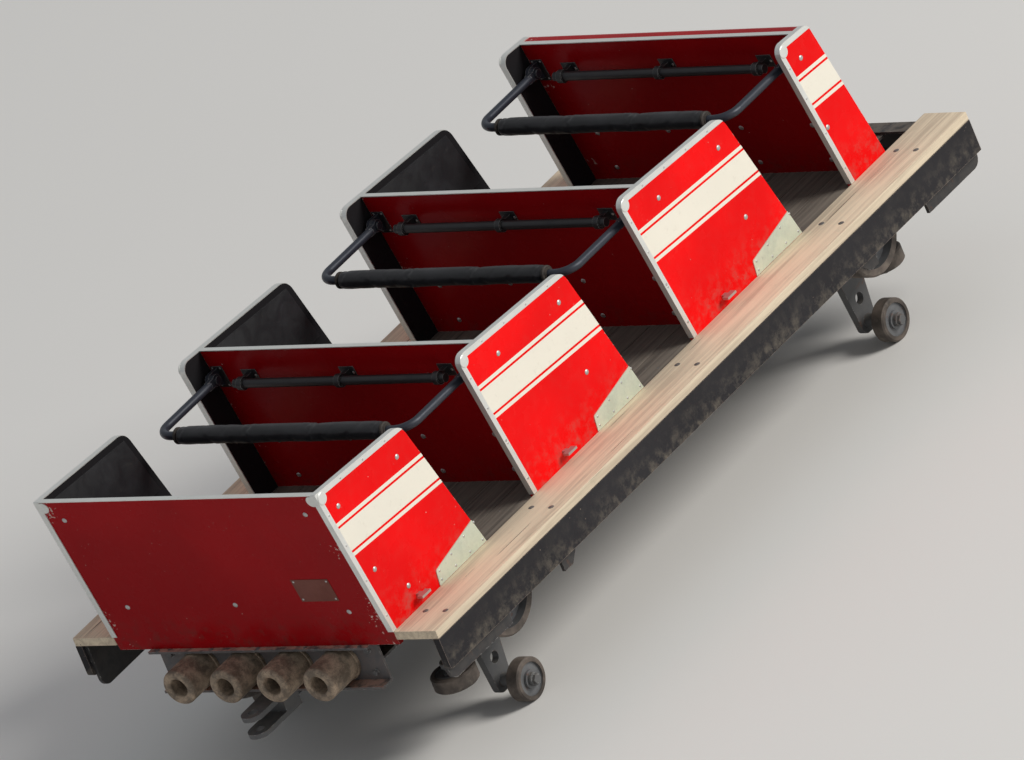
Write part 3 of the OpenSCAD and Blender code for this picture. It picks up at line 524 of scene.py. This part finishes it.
# Places, read from the CAD model
board_low, board_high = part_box("running_board_left")
x_rear, x_nose = board_low.x, board_high.x
board_z = board_high.z
body_y, deck_y = board_low.y, board_high.y
panel_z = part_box("rear_panel")[1].z
inner_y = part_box("seat_back_2")[1].y
FIRST_PITCH, BENCH_PITCH, SET_IN = 0.800, 0.920, 0.100
ROWS = [x_rear] + [x_rear + FIRST_PITCH + i * BENCH_PITCH for i in range(3)]
TOP_LENGTHS = [0.460, 0.574, 0.574, 0.172]
BOTTOM_LENGTHS = [0.526, 0.627, 0.627, 0.198]
BOARDS = [x + SET_IN for x in ROWS[1:]]
BACKS = [x_rear] + BOARDS[:2]
board_up = Vector((-LEAN, 0, 1)).normalized()
board_back = Y.cross(board_up) * -1
top_along = Vector((1, -TOP_FALL)).normalized()
top_down = Vector((-TOP_FALL, -1)).normalized()


def face_x(x, z):
    """x of a leaning board's rear face at height z."""
    return x - (z - board_z) * LEAN


def on_panel(row, along, below):
    """A point in X and Z of a side panel: along its top edge from the rear corner, and below it."""
    return Vector((face_x(ROWS[row], panel_z), panel_z)) + top_along * along + top_down * below


def on_board(x, y, z):
    """A point on a leaning board's rear face."""
    return Vector((face_x(x, z), y, z))


# Finishes of the CAD nodes
red = enamel("red_enamel", RED, board_z, inside=inner_y)
# Enamel of the rearward boards: the side panels' red with painted shade in its colour; the dirt and chips on
# it are real
red_in_painted_shade = enamel("red_enamel_in_painted_shade", RED_IN_PAINTED_SHADE, board_z - 0.04, 1.4, chipped_y=body_y - 0.13,
                  dirt_colour=RED_DIRT)
cream = band_paint()
trim = bare_metal("trim_aluminium", ALUMINIUM, 0.34, 0.45, 0.65)
kick = bare_metal("kick_aluminium", SCUFFED, 0.46, 0.75, 0.6, (30.0, 30.0, 160.0))
zinc = bare_metal("zinc_bolts", ZINC, 0.38, 0.5, 0.85)
black = working_steel("black_frame", BLACK, 0.30, 0.6, 0.45)
fascia_black = enamel("fascia_black", scaled(BLACK, 1.3), board_z - 0.2, 2.2, chip_colour=CHIPPED_BLACK)
greasy = working_steel("greasy_steel", scaled(STEEL, 0.42), 0.45, 0.9, 0.30)
# Its pale top is partly dust and faded primer, partly painted sunlight
beam_steel = working_steel("beam_steel", scaled(STEEL, 0.38), 0.35, 0.3, 1.0, BEAM_DUST_AND_LIGHT)
bar_steel = bare_metal("lap_bar_steel", BAR_STEEL, 0.30, 0.5, 0.35, (60.0, 4.0, 60.0), 0.5)
bar_black = bare_metal("grab_bar_black", BLACK, 0.34, 0.4, 0.1, (60.0, 4.0, 60.0), 0.4)
boards = timber("running_boards", BOARD_LIGHT, BOARD_DARK)
deck = timber("deck_boards", DECK_LIGHT, DECK_DARK)
seat_wood = timber("seat_boards", scaled(DECK_LIGHT, 1.2), DECK_DARK, along=1)
cloth = vinyl()
buffer_rubber = rubber("buffer_rubber", WORN_RUBBER, scaled(WORN_RUBBER, 0.35))
black_rubber = rubber("black_rubber", scaled(TYRE, 1.2), scaled(TYRE, 0.5), 60.0)

dress(red, "side_panels_left", "side_panels_right")
# These boards get the red darkened as painted shade
dress(red_in_painted_shade, "rear_panel", "seat_back_2", "seat_back_3", "dash", "seat_risers")
dress(trim, "edge_trims")
dress(kick, "kick_plates")
dress(black, "side_sills", "cross_members", "outriggers", "front_beam", "side_plate_left", "side_plate_right")
dress(fascia_black, "fascia_left", "fascia_right")
dress(beam_steel, "rear_beam")
dress(greasy, "truck_brackets_front", "truck_brackets_rear", "chain_dogs", "drawbar", "rear_clevis")
dress(zinc, "release_pedals")
dress(bar_steel, "lap_bar_1", "lap_bar_2", "lap_bar_3", "lap_bar_brackets")
dress(bar_black, "grab_bars", "grab_bar_posts")
dress(seat_wood, "seat_boards")
dress(boards, "running_board_left", "running_board_right")
dress(deck, "floor_deck")
dress(buffer_rubber, "rear_buffers")
dress(cloth, "seat_cushion_1", "seat_cushion_2", "seat_cushion_3", "back_cushions",
      "lap_pad_1", "lap_pad_2", "lap_pad_3")

ROAD_TYRE_T, SMALL_TYRE_T = 0.026, 0.017
WHEELS = [("wheelset_front", Y, ROAD_TYRE_T), ("wheelset_rear", Y, ROAD_TYRE_T)]
for corner in ("fl", "fr", "rl", "rr"):
    WHEELS += [(f"guide_wheel_{corner}", Z, SMALL_TYRE_T), (f"upstop_wheel_{corner}", Y, SMALL_TYRE_T)]
for name, axis, tyre_t in WHEELS:
    low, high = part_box(name)
    centre = (low + high) / 2
    radius = (high.x - low.x) / 2
    dress(wheel_finish(name + "_finish", tuple(centre), tuple(axis), radius - tyre_t), name)


# Outlines of the side panels, rear panel's edge included
edge_points = [Vector((v.co.x, v.co.z)) for name in ("side_panels_left", "rear_panel")
               for v in nodes[name].data.vertices if abs(v.co.y - body_y) < 0.0002]
edge_in = Vector((1, LEAN)).normalized()


def side_outline(row):
    """The outline of a side panel in X and Z."""
    low, high = face_x(ROWS[row], panel_z) - 0.01, ROWS[row] + BOTTOM_LENGTHS[row] + 0.01
    flat = [p for p in edge_points if low < p.x < high]
    return [flat[i] for i in convex_hull_2d(flat)]


# Paint bands
bands = {1: Bag(), -1: Bag()}
fine = FINE_BAND + BAND_GAP
BANDS = [(BAND_TOP, BAND_TOP + FINE_BAND), (BAND_TOP + fine, BAND_BOTTOM - fine),
         (BAND_BOTTOM - FINE_BAND, BAND_BOTTOM)]
for row in range(len(ROWS)):
    for start, end in BANDS:
        shape = clip(side_outline(row), on_panel(row, 0, start), top_down)
        shape = clip(shape, on_panel(row, 0, end), -top_down)
        shape = clip(shape, on_panel(row, 0, 0) + edge_in * TRIM_LIP, edge_in)
        for side, bag in bands.items():
            bag.prism(shape, side * (body_y - BITE), side * (body_y + PAINT_T))
for side, bag in bands.items():
    bag.make("band_left" if side > 0 else "band_right", "car", "red_paint", cream)


# Bolts, caps and screws of the body
caps = Bag()
bolts = Bag()
screws = Bag()
trim_y = body_y + TRIM_T

# Round heads: radius and height
PANEL_BOLT = (0.009, 0.004)
TRIM_SCREW = (0.004, 0.0018)
KICK_SCREW = (0.0045, 0.002)

# Bolts of each side panel: share of its length along the top edge, and distance below that edge
BENCH_BOLTS = [(0.32, 0.080), (0.90, 0.080), (0.14, 0.330), (0.92, 0.330), (0.20, 0.480)]
PANEL_BOLTS = [
    [(0.18, 0.080), (0.87, 0.080), (0.30, 0.330), (0.55, 0.450)],
    BENCH_BOLTS,
    BENCH_BOLTS,
    [(0.55, 0.080), (0.60, 0.330)]
]
CAP_IN, CAP_DOWN = 0.024, 0.022
TRIM_SCREW_STEP = 0.12
EDGE_SCREW_HEIGHTS = (0.06, 0.20, 0.34, 0.46)

# Screws of a kick plate: distance behind the panel's lower front corner, and height
KICK_SCREWS = [(0.245, 0.014), (0.165, 0.014), (0.085, 0.014), (0.014, 0.014), (0.240, 0.042),
               (0.165, 0.056), (0.085, 0.070), (0.022, 0.082)]


def corner_cap(place, axis, foot):
    """A flat round cap, whose back is at the height foot."""
    caps.lathe(place, axis, [(0.0205, foot), (0.0205, 0.002), (0.019, 0.0032), (0.004, 0.0036)], 32)


for side in (1, -1):
    out = Y * side
    for row, places in enumerate(PANEL_BOLTS):
        spot = on_panel(row, CAP_IN, CAP_DOWN)
        corner_cap(Vector((spot.x, side * (trim_y - BITE), spot.y)), out, 0)
        for share, below in places:
            spot = on_panel(row, share * TOP_LENGTHS[row], below)
            bolts.dome(Vector((spot.x, side * body_y, spot.y)), out, *PANEL_BOLT)
        for i in range(1, int(TOP_LENGTHS[row] / TRIM_SCREW_STEP) + 1):
            spot = on_panel(row, i * TRIM_SCREW_STEP + 0.01, TRIM_LIP / 2)
            if (i + 0.5) * TRIM_SCREW_STEP < TOP_LENGTHS[row]:
                screws.dome(Vector((spot.x, side * trim_y, spot.y)), out, *TRIM_SCREW, sides=10)
        for up in EDGE_SCREW_HEIGHTS:
            x = face_x(ROWS[row], board_z + up) + TRIM_LIP / 2
            screws.dome(Vector((x, side * trim_y, board_z + up)), out, *TRIM_SCREW, sides=10)
    for row in range(3):
        foot = ROWS[row] + BOTTOM_LENGTHS[row]
        for behind, up in KICK_SCREWS:
            screws.dome(Vector((foot - behind, side * trim_y, board_z + up)), out, *KICK_SCREW, sides=10)

# Rear panel: corner caps, bolts and a bare plate
REAR_BOLTS = ((0.490, 0.073), (-0.490, 0.073), (0.440, 0.425), (-0.440, 0.462), (0.0, 0.425))
PLATE_Y, PLATE_DOWN, PLATE_W, PLATE_H = -0.353, 0.378, 0.150, 0.088
PLATE_T, PLATE_SCREW_IN = 0.0015, 0.009
plate = Bag()
for side in (1, -1):
    corner_cap(on_board(x_rear, side * (body_y - CAP_IN), panel_z - CAP_DOWN), board_back, -0.001)
for y, below in REAR_BOLTS:
    bolts.dome(on_board(x_rear, y, panel_z - below), board_back, *PANEL_BOLT)
plate_at = on_board(x_rear, PLATE_Y, panel_z - PLATE_DOWN * board_up.z)
plate.slab(plate_at, board_up, Y, PLATE_H / 2, PLATE_W / 2, PLATE_T)
for a in (-1, 1):
    for b in (-1, 1):
        spot = plate_at + board_up * a * (PLATE_H / 2 - PLATE_SCREW_IN) + board_back * PLATE_T
        screws.dome(spot + Y * b * (PLATE_W / 2 - PLATE_SCREW_IN), board_back, *TRIM_SCREW, sides=10)

# Black linings of the side panels beside the seats
lining = Bag()
LINING_T = 0.003
LINING_EDGE = 0.022
SEAT_CLEAR = 0.004
BACK_CLEAR = 0.003

# Thickness of a leaning board, measured along X
LEANING_T = 0.0183
seat_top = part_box("seat_cushion_1")[1].z
for row, x in enumerate(BACKS):
    shape = clip(side_outline(row), on_panel(row, 0, LINING_EDGE), top_down)
    shape = clip(shape, Vector((0, seat_top + SEAT_CLEAR)), Vector((0, 1)))
    shape = clip(shape, Vector((face_x(x, panel_z) + LEANING_T + BACK_CLEAR, panel_z)), edge_in)
    foot = Vector((ROWS[row] + BOTTOM_LENGTHS[row], board_z))
    head = on_panel(row, TOP_LENGTHS[row], 0)
    front = (head - foot).normalized()
    front_in = Vector((-front.y, front.x))
    shape = clip(shape, foot + front_in * LINING_EDGE, front_in)
    for side in (1, -1):
        lining.prism(shape, side * (inner_y + BITE), side * (inner_y - LINING_T))

# Seat backs and dash: bolts along the seat boards and the floor
for x in BOARDS:
    for y in (-0.44, -0.15, 0.15, 0.44):
        for up in (0.175, 0.035):
            bolts.dome(on_board(x, y, board_z + up), board_back, *PANEL_BOLT)

plate_metal = bare_metal("blank_plate", PLATE_METAL, 0.6, 0.6, 0.1)
lining.make("side_linings", "car", "black_vinyl", cloth, bevel=0.0012)
caps.make("corner_caps", "car", "aluminium_trim", trim)
bolts.make("body_bolts", "car", "aluminium_trim", zinc)
screws.make("trim_screws", "car", "aluminium_trim", zinc)
plate.make("blank_plate", "car", "aluminium_trim", plate_metal, bevel=0.0004)


# Planks of the running boards and the floor, bolted down where the outriggers are
OUTRIGGERS = [x_rear + 0.12, -0.8775, -0.0385, 0.8005, 1.2405]
WALK_BOLT = (0.010, 0.003)
WALK_BOLT_IN = 0.045
DECK_SCREW = (0.0045, 0.0012)
DECK_PLANKS, PLANK_GAP = 9, 0.002
board_bolts = Bag()
for side, name in ((1, "left"), (-1, "right")):
    walk = Bag()
    low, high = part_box(f"running_board_{name}")
    walk.box(low, high)
    obj = walk.make(f"running_planks_{name}", "car", "weathered_wood", boards, bevel=0.004)
    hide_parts(f"running_board_{name}")
    for x in OUTRIGGERS:
        for y in (body_y + WALK_BOLT_IN, deck_y - WALK_BOLT_IN):
            board_bolts.dome(Vector((x, side * y, board_z)), Z, *WALK_BOLT)

floor_low, floor_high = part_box("floor_deck")
floor_planks = Bag()
plank_step = (floor_high.y - floor_low.y + PLANK_GAP) / DECK_PLANKS
for i in range(DECK_PLANKS):
    y = floor_low.y + i * plank_step
    floor_planks.box((floor_low.x, y, floor_low.z), (floor_high.x, y + plank_step - PLANK_GAP, floor_high.z))
    for x in OUTRIGGERS[:4]:
        for share in (0.3, 0.7):
            board_bolts.dome(Vector((x, y + plank_step * share, floor_high.z)), Z, *DECK_SCREW, sides=10)
obj = floor_planks.make("floor_planks", "car", "weathered_wood", deck, bevel=0.002)
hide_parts("floor_deck")
board_bolts.make("board_bolts", "car", "steel", greasy)


# Fixings of the bars
BAR_PLATE_T = 0.0025
GRAB_FEET = (-0.4, 0.0, 0.4)
HINGE_Y, HINGE_DOWN = 0.524, 0.034
bar_plates = Bag()
bar_screws = Bag()
grab_z = (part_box("grab_bars")[0].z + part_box("grab_bars")[1].z) / 2
hinge_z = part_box("lap_bar_brackets")[1].z - HINGE_DOWN
for x in BOARDS:
    for y in GRAB_FEET:
        at = on_board(x, y, grab_z)
        bar_plates.slab(at, board_up, Y, 0.024, 0.030, BAR_PLATE_T)
        for s in (-1, 1):
            spot = at + Y * s * 0.021 + board_back * BAR_PLATE_T
            bar_screws.dome(spot, board_back, 0.005, 0.002, sides=12)
    for side in (-1, 1):
        at = on_board(x, side * HINGE_Y, hinge_z)
        bar_plates.slab(at, board_up, Y, 0.042, 0.024, BAR_PLATE_T)
        for s in (-1, 1):
            for t in (-1, 1):
                spot = at + Y * s * 0.016 + board_up * t * 0.034 + board_back * BAR_PLATE_T
                bar_screws.dome(spot, board_back, 0.004, 0.002, sides=12)
bar_plates.make("bar_foot_plates", "car", "black_paint", bar_black, bevel=0.0006)
bar_screws.make("bar_screws", "car", "steel", zinc)


# Fixings of the running gear and the frame: distances from the axle, or else the car's own y and z
HUB_NUT_Y = 0.5965
HUB_NUT = [(0.036, 0), (0.036, 0.010), (0.033, 0.012), (0.020, 0.012)]
SPLIT_PIN_Y, SPLIT_PIN_HALF, SPLIT_PIN_R = 0.6045, 0.040, 0.0025
HUB_BOLTS, HUB_BOLT_Y, HUB_BOLT_RING = 6, 0.5545, 0.088
FACE_BOLT_X, FACE_BOLT_Y = 0.054, 0.435
CLAMP_BOLT_X, CLAMP_BOLT_Y, CLAMP_BOLT_Z = 0.057, 0.387, 0.009
FOOT_BOLT_X, FOOT_BOLT_Z = 0.074, 0.031
UPSTOP_NUT_Y, UPSTOP_NUT_Z = 0.561, 0.070
GUIDE_NUT_X, GUIDE_NUT_Y, GUIDE_NUT_Z = 0.175, 0.418, 0.1555
ARM_BOLT_Y, ARM_BOLT_Z = 0.396, 0.2515
SILL_BOLT_X, SILL_BOLT_Y, SILL_BOLT_Z = 0.20, 0.375, 0.470
OUTRIGGER_BOLT_Y, OUTRIGGER_BOLT_Z = 0.44, 0.465
gear = Bag()
for end, ahead in (("front", 1), ("rear", -1)):
    low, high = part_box(f"wheelset_{end}")
    x = (low.x + high.x) / 2
    axle_z = (low.z + high.z) / 2
    hub = Bag()
    for side in (-1, 1):
        out = Y * side
        hub.lathe(Vector((x, side * HUB_NUT_Y, axle_z)), out, HUB_NUT, 6)
        hub.tube([Vector((x + a, side * SPLIT_PIN_Y, axle_z)) for a in (-SPLIT_PIN_HALF, SPLIT_PIN_HALF)],
                 SPLIT_PIN_R)
        for i in range(HUB_BOLTS):
            turn = 2 * math.pi * (i + 0.5) / HUB_BOLTS
            spot = Vector((x + HUB_BOLT_RING * math.cos(turn), side * HUB_BOLT_Y,
                           axle_z + HUB_BOLT_RING * math.sin(turn)))
            hub.hex(spot, out, 0.008, 0.008)
        for a in (-1, 1):
            for z in (axle_z - 0.026, axle_z + 0.018):
                gear.hex(Vector((x + a * FACE_BOLT_X, side * FACE_BOLT_Y, z)), out, 0.008, 0.009)
            for up in (-1, 1):
                spot = Vector((x + a * CLAMP_BOLT_X, side * CLAMP_BOLT_Y, axle_z + up * CLAMP_BOLT_Z))
                gear.hex(spot, Z * up, 0.008, 0.009)
            for y in (0.384, 0.416):
                gear.hex(Vector((x + a * FOOT_BOLT_X, side * y, axle_z + FOOT_BOLT_Z)), -Z, 0.007, 0.008)
        gear.hex(Vector((x, side * UPSTOP_NUT_Y, UPSTOP_NUT_Z)), out, 0.017, 0.013)
        gear.hex(Vector((x + ahead * GUIDE_NUT_X, side * GUIDE_NUT_Y, GUIDE_NUT_Z)), -Z, 0.017, 0.013)
        for a in (0.02, 0.09):
            gear.hex(Vector((x + ahead * a, side * ARM_BOLT_Y, ARM_BOLT_Z)), Z, 0.007, 0.008)
        for a in (-1, 1):
            gear.hex(Vector((x + a * SILL_BOLT_X, side * SILL_BOLT_Y, SILL_BOLT_Z)), -out, 0.009, 0.010)
    hub.make(f"hub_nuts_{end}", f"axle_{end}", "steel", greasy)
for x in OUTRIGGERS:
    for side in (-1, 1):
        gear.hex(Vector((x, side * OUTRIGGER_BOLT_Y, OUTRIGGER_BOLT_Z)), -Z, 0.008, 0.008)
beam_low, beam_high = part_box("rear_beam")
BEAM_BOLT = (0.010, 0.011)
for y in (-0.41, -0.19, 0.0, 0.19, 0.41):
    gear.dome(Vector((beam_low.x + 0.0085, y, beam_high.z)), Z, 0.007, 0.004)
for y in (-0.40, 0.40):
    for z in (beam_low.z + 0.035, beam_high.z - 0.035):
        gear.hex(Vector((x_rear + 0.037, y, z)), -X, *BEAM_BOLT)
for y in (-0.60, -0.42, -0.2, 0.2, 0.42, 0.60):
    for z in (0.40, 0.49):
        gear.hex(Vector((x_nose, y, z)), X, *BEAM_BOLT)
gear.make("frame_bolts", "car", "dark_steel", greasy)


# Soft pieces
CLOTH_FRAMES = 20


def closed_copy(node, end_x=math.inf):
    """The part of a CAD node behind end_x, with its points merged."""
    bm = bmesh.new()
    bm.from_mesh(nodes[node].data)
    bmesh.ops.delete(bm, geom=[v for v in bm.verts if v.co.x >= end_x], context="VERTS")
    bmesh.ops.remove_doubles(bm, verts=bm.verts, dist=0.00001)
    return bm


def shaped(obj):
    """The object's mesh with its modifiers applied."""
    bpy.context.view_layer.update()
    return bpy.data.meshes.new_from_object(obj.evaluated_get(bpy.context.evaluated_depsgraph_get()))


def stuffed(name, bm, inset, voxel, held, cap, pressure=4.0, slack=-0.022):
    """Fills a closed form with air under its cloth.

    The form starts smaller by inset. held says which points are sewn or glued down, and cap is how far
    the others may move.
    """
    low = Vector([min(v.co[i] for v in bm.verts) for i in range(3)])
    high = Vector([max(v.co[i] for v in bm.verts) for i in range(3)])
    middle = (low + high) / 2
    for v in bm.verts:
        for i in range(3):
            v.co[i] = middle[i] + (v.co[i] - middle[i]) * (1 - 2 * inset[i] / (high[i] - low[i]))
    mesh = bpy.data.meshes.new(name)
    bm.to_mesh(mesh)
    bm.free()
    obj = bpy.data.objects.new(name + "_form", mesh)
    bpy.context.scene.collection.objects.link(obj)
    remesh = obj.modifiers.new("Remesh", "REMESH")
    remesh.mode = "VOXEL"
    remesh.voxel_size = voxel
    obj.data = shaped(obj)
    obj.modifiers.clear()
    rest = [v.co.copy() for v in obj.data.vertices]
    pins = obj.vertex_groups.new(name="held")
    pins.add([i for i, p in enumerate(rest) if held(p)], 1.0, "REPLACE")
    made = obj.modifiers.new("Cloth", "CLOTH")
    cloth_set = made.settings
    cloth_set.quality = 5
    cloth_set.mass = 0.25
    cloth_set.tension_stiffness = 12
    cloth_set.compression_stiffness = 12
    cloth_set.bending_stiffness = 0.4
    cloth_set.use_pressure = True
    cloth_set.uniform_pressure_force = pressure
    cloth_set.shrink_min = slack
    cloth_set.vertex_group_mass = "held"
    cloth_set.effector_weights.gravity = 0.0
    made.collision_settings.use_collision = False
    made.point_cache.frame_start = 1
    made.point_cache.frame_end = CLOTH_FRAMES
    for number in range(1, CLOTH_FRAMES + 1):
        bpy.context.scene.frame_set(number)
    filled = shaped(obj)
    obj.modifiers.clear()
    bpy.context.scene.frame_set(1)
    for v, start in zip(filled.vertices, rest):
        move = v.co - start
        if move.length > cap:
            v.co = start + move * (cap / move.length)
    obj.data = filled
    smooth = obj.modifiers.new("Smooth", "SUBSURF")
    smooth.levels = 1
    smooth.render_levels = 1
    result = shaped(obj)
    bpy.data.objects.remove(obj)
    for p in result.polygons:
        p.use_smooth = True
    return result


def surface(mesh):
    """A mesh, ready to have points dropped on to it."""
    return BVHTree.FromPolygons([v.co for v in mesh.vertices], [tuple(p.vertices) for p in mesh.polygons])


def moved(mesh, offset):
    made = mesh.copy()
    made.transform(Matrix.Translation(offset))
    return made


def dropped(tree, points, direction, lift=0.0):
    """Each point carried along direction on to a surface, then back off it by lift."""
    kept = []
    for p in points:
        hit = tree.ray_cast(p, direction)[0]
        if hit is not None:
            kept.append(hit - direction * lift)
    return kept


def spaced(a, b, n):
    """The points that part a line in n."""
    return [a.lerp(b, i / n) for i in range(n + 1)]


seat_low, seat_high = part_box("seat_cushion_1")
back_low, back_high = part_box("back_cushions")
pad_low, pad_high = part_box("lap_pad_1")
pad_mid = (pad_low + pad_high) / 2
pad_r = (pad_high.z - pad_low.z) / 2
pad_end = pad_high.y
SEAM_W = 0.006


def seat_held(p):
    return p.z < seat_low.z + 0.012 or (abs(p.y) < SEAM_W and p.x < seat_high.x - 0.02)


def back_held(p):
    behind = p.x - face_x(x_rear, p.z)
    return behind < 0.030 or (abs(p.y) < SEAM_W and p.z < back_high.z - 0.02)


def pad_held(p):
    under = p.z < pad_mid.z - pad_r * 0.7 and abs(p.x - pad_mid.x) < SEAM_W
    return under or abs(p.y) > pad_end - 0.016


def before_back(y, z):
    """A point ahead of the first back cushion."""
    return Vector((face_x(x_rear, z) + 0.2, y, z))


seat_mesh = stuffed("seat_cushion", closed_copy("seat_cushion_1"), inset=(0.006, 0.006, 0.007), voxel=0.011,
                    held=seat_held, cap=0.010)
back_mesh = stuffed("back_cushion", closed_copy("back_cushions", ROWS[1] - 0.2),
                    inset=(0.005, 0.006, 0.007), voxel=0.011, held=back_held, cap=0.009)
PAD_HALF = [(pad_r, 0.02), (pad_r - 0.002, 0.008), (pad_r - 0.010, 0), (0.012, 0)]
pad_bag = Bag()
pad_bag.lathe(Vector((pad_mid.x, 0, pad_mid.z)), Y,
              [(r, -pad_end + short) for r, short in reversed(PAD_HALF)]
              + [(r, pad_end - short) for r, short in PAD_HALF], 48)
pad_mesh = stuffed("lap_pad", pad_bag.form(), inset=(0.004, 0.002, 0.004), voxel=0.008, held=pad_held,
                   cap=0.005, pressure=5.0, slack=-0.012)

# Lines of the piping round the first seat's cushions and of their middle seams
PIPING_R, SEAM_R, PIPING_LIFT = 0.004, 0.0028, 0.001
seat_tree, back_tree = surface(seat_mesh), surface(back_mesh)
half = seat_high.y - 0.035
rear, front = seat_low.x + 0.055, seat_high.x - 0.035
top = seat_high.z + 0.05
loop = (spaced(Vector((rear, -half, top)), Vector((front, -half, top)), 24)
        + spaced(Vector((front, -half, top)), Vector((front, half, top)), 60)
        + spaced(Vector((front, half, top)), Vector((rear, half, top)), 24)
        + spaced(Vector((rear, half, top)), Vector((rear, -half, top)), 60))
loop = [p for i, p in enumerate(loop) if i == 0 or (p - loop[i - 1]).length > 0.001]
seat_rim = dropped(seat_tree, loop, -Z, PIPING_LIFT)[:-1]
seat_seam = dropped(seat_tree, spaced(Vector((rear, 0, top)), Vector((front, 0, top)), 40), -Z)
back_face = Vector((1, 0, LEAN)).normalized()
half = back_high.y - 0.030
low_z, high_z = back_low.z + 0.03, back_high.z - 0.032
path = (spaced(before_back(-half, low_z), before_back(-half, high_z), 14)
        + spaced(before_back(-half, high_z), before_back(half, high_z), 60)[1:]
        + spaced(before_back(half, high_z), before_back(half, low_z), 14)[1:])
back_rim = dropped(back_tree, path, -back_face, PIPING_LIFT)
back_seam = dropped(back_tree, spaced(before_back(0, low_z), before_back(0, high_z), 20), -back_face)
PAD_CAP = [(pad_r - 0.006, 0), (pad_r - 0.006, 0.007), (pad_r - 0.010, 0.010), (0.020, 0.010),
           (0.018, 0.014), (0.0145, 0.014)]

for k in range(3):
    shift = X * (BACKS[k] - x_rear)
    seat = piece(f"seat_{k + 1}", moved(seat_mesh, shift), "car", cloth)
    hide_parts(f"seat_cushion_{k + 1}")
    back = piece(f"back_{k + 1}", moved(back_mesh, shift), "car", cloth)
    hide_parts("back_cushions")
    bar = f"lap_bar_frame_{k + 1}"
    low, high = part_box(f"lap_pad_{k + 1}")
    bar_shift = (low + high) / 2 - pad_mid
    pad = piece(f"pad_{k + 1}", moved(pad_mesh, bar_shift), bar, cloth)
    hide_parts(f"lap_pad_{k + 1}")

    piping = Bag()
    for line, r, sides, closed in ((seat_rim, PIPING_R, 8, True), (seat_seam, SEAM_R, 6, False),
                                   (back_rim, PIPING_R, 8, False), (back_seam, SEAM_R, 6, False)):
        piping.tube([p + shift for p in line], r, sides, closed)
    piping.make(f"seat_piping_{k + 1}", "car", "black_vinyl", cloth, angle=80)

    ends = Bag()
    for side in (-1, 1):
        spot = Vector((pad_mid.x, side * (pad_end - 0.004), pad_mid.z)) + bar_shift
        ends.lathe(spot, Y * side, PAD_CAP, 32)
    ends.make(f"pad_ends_{k + 1}", bar, "black_vinyl", black_rubber)


# Stage, light and camera
FLOOR_REACH = 40
SKY_STRENGTH = 0.36
LAMP_AIM = Vector((0.35, -0.75, 0.55)).normalized()
LAMP_DISTANCE, LAMP_SIZE, LAMP_POWER = 36.0, 15.0, 10350.0

stage_mesh = bpy.data.meshes.new("floor")
corners = [(x * FLOOR_REACH, y * FLOOR_REACH, 0) for x, y in ((-1, -1), (1, -1), (1, 1), (-1, 1))]
stage_mesh.from_pydata(corners, [], [(0, 1, 2, 3)])
stage_mesh.materials.append(floor_finish())
stage_floor = bpy.data.objects.new("floor", stage_mesh)
bpy.context.scene.collection.objects.link(stage_floor)

world = bpy.data.worlds.new("daylight")
world.use_nodes = True
world.node_tree.nodes["Background"].inputs["Color"].default_value = (*SKY_LIGHT, 1.0)
world.node_tree.nodes["Background"].inputs["Strength"].default_value = SKY_STRENGTH
bpy.context.scene.world = world

middle = (cad_low + cad_high) / 2
lamp_data = bpy.data.lights.new("key", "AREA")
lamp_data.shape = "DISK"
lamp_data.size = LAMP_SIZE
lamp_data.energy = LAMP_POWER
lamp_data.color = LAMP_LIGHT
lamp = bpy.data.objects.new("key", lamp_data)
lamp.location = middle + LAMP_AIM * LAMP_DISTANCE
lamp.rotation_mode = "QUATERNION"
lamp.rotation_quaternion = LAMP_AIM.to_track_quat("Z", "Y")
bpy.context.scene.collection.objects.link(lamp)

view_back = VIEW_RIGHT.cross(VIEW_UP)
across = [v.co.dot(VIEW_RIGHT) for obj in nodes.values() for v in obj.data.vertices]
upward = [v.co.dot(VIEW_UP) for obj in nodes.values() for v in obj.data.vertices]
wide, tall = max(across) - min(across), max(upward) - min(upward)
aim = (VIEW_RIGHT * (max(across) + min(across)) / 2 + VIEW_UP * (max(upward) + min(upward)) / 2
       + view_back * middle.dot(view_back))
view_w = VIEW_MARGIN * max(wide, tall * FRAME_W / FRAME_H)
camera_data = bpy.data.cameras.new("camera")
camera_data.sensor_width = SENSOR_W * 1000
camera_data.lens = SENSOR_W * 1000 * CAMERA_DISTANCE / view_w
camera_data.clip_start = 10.0
camera_data.clip_end = 500.0
camera = bpy.data.objects.new("camera", camera_data)
turn = Matrix((VIEW_RIGHT, VIEW_UP, view_back)).transposed().to_4x4()
camera.matrix_world = Matrix.Translation(aim + view_back * CAMERA_DISTANCE) @ turn
bpy.context.scene.collection.objects.link(camera)
bpy.context.scene.camera = camera
bpy.context.scene.view_settings.view_transform = "Standard"
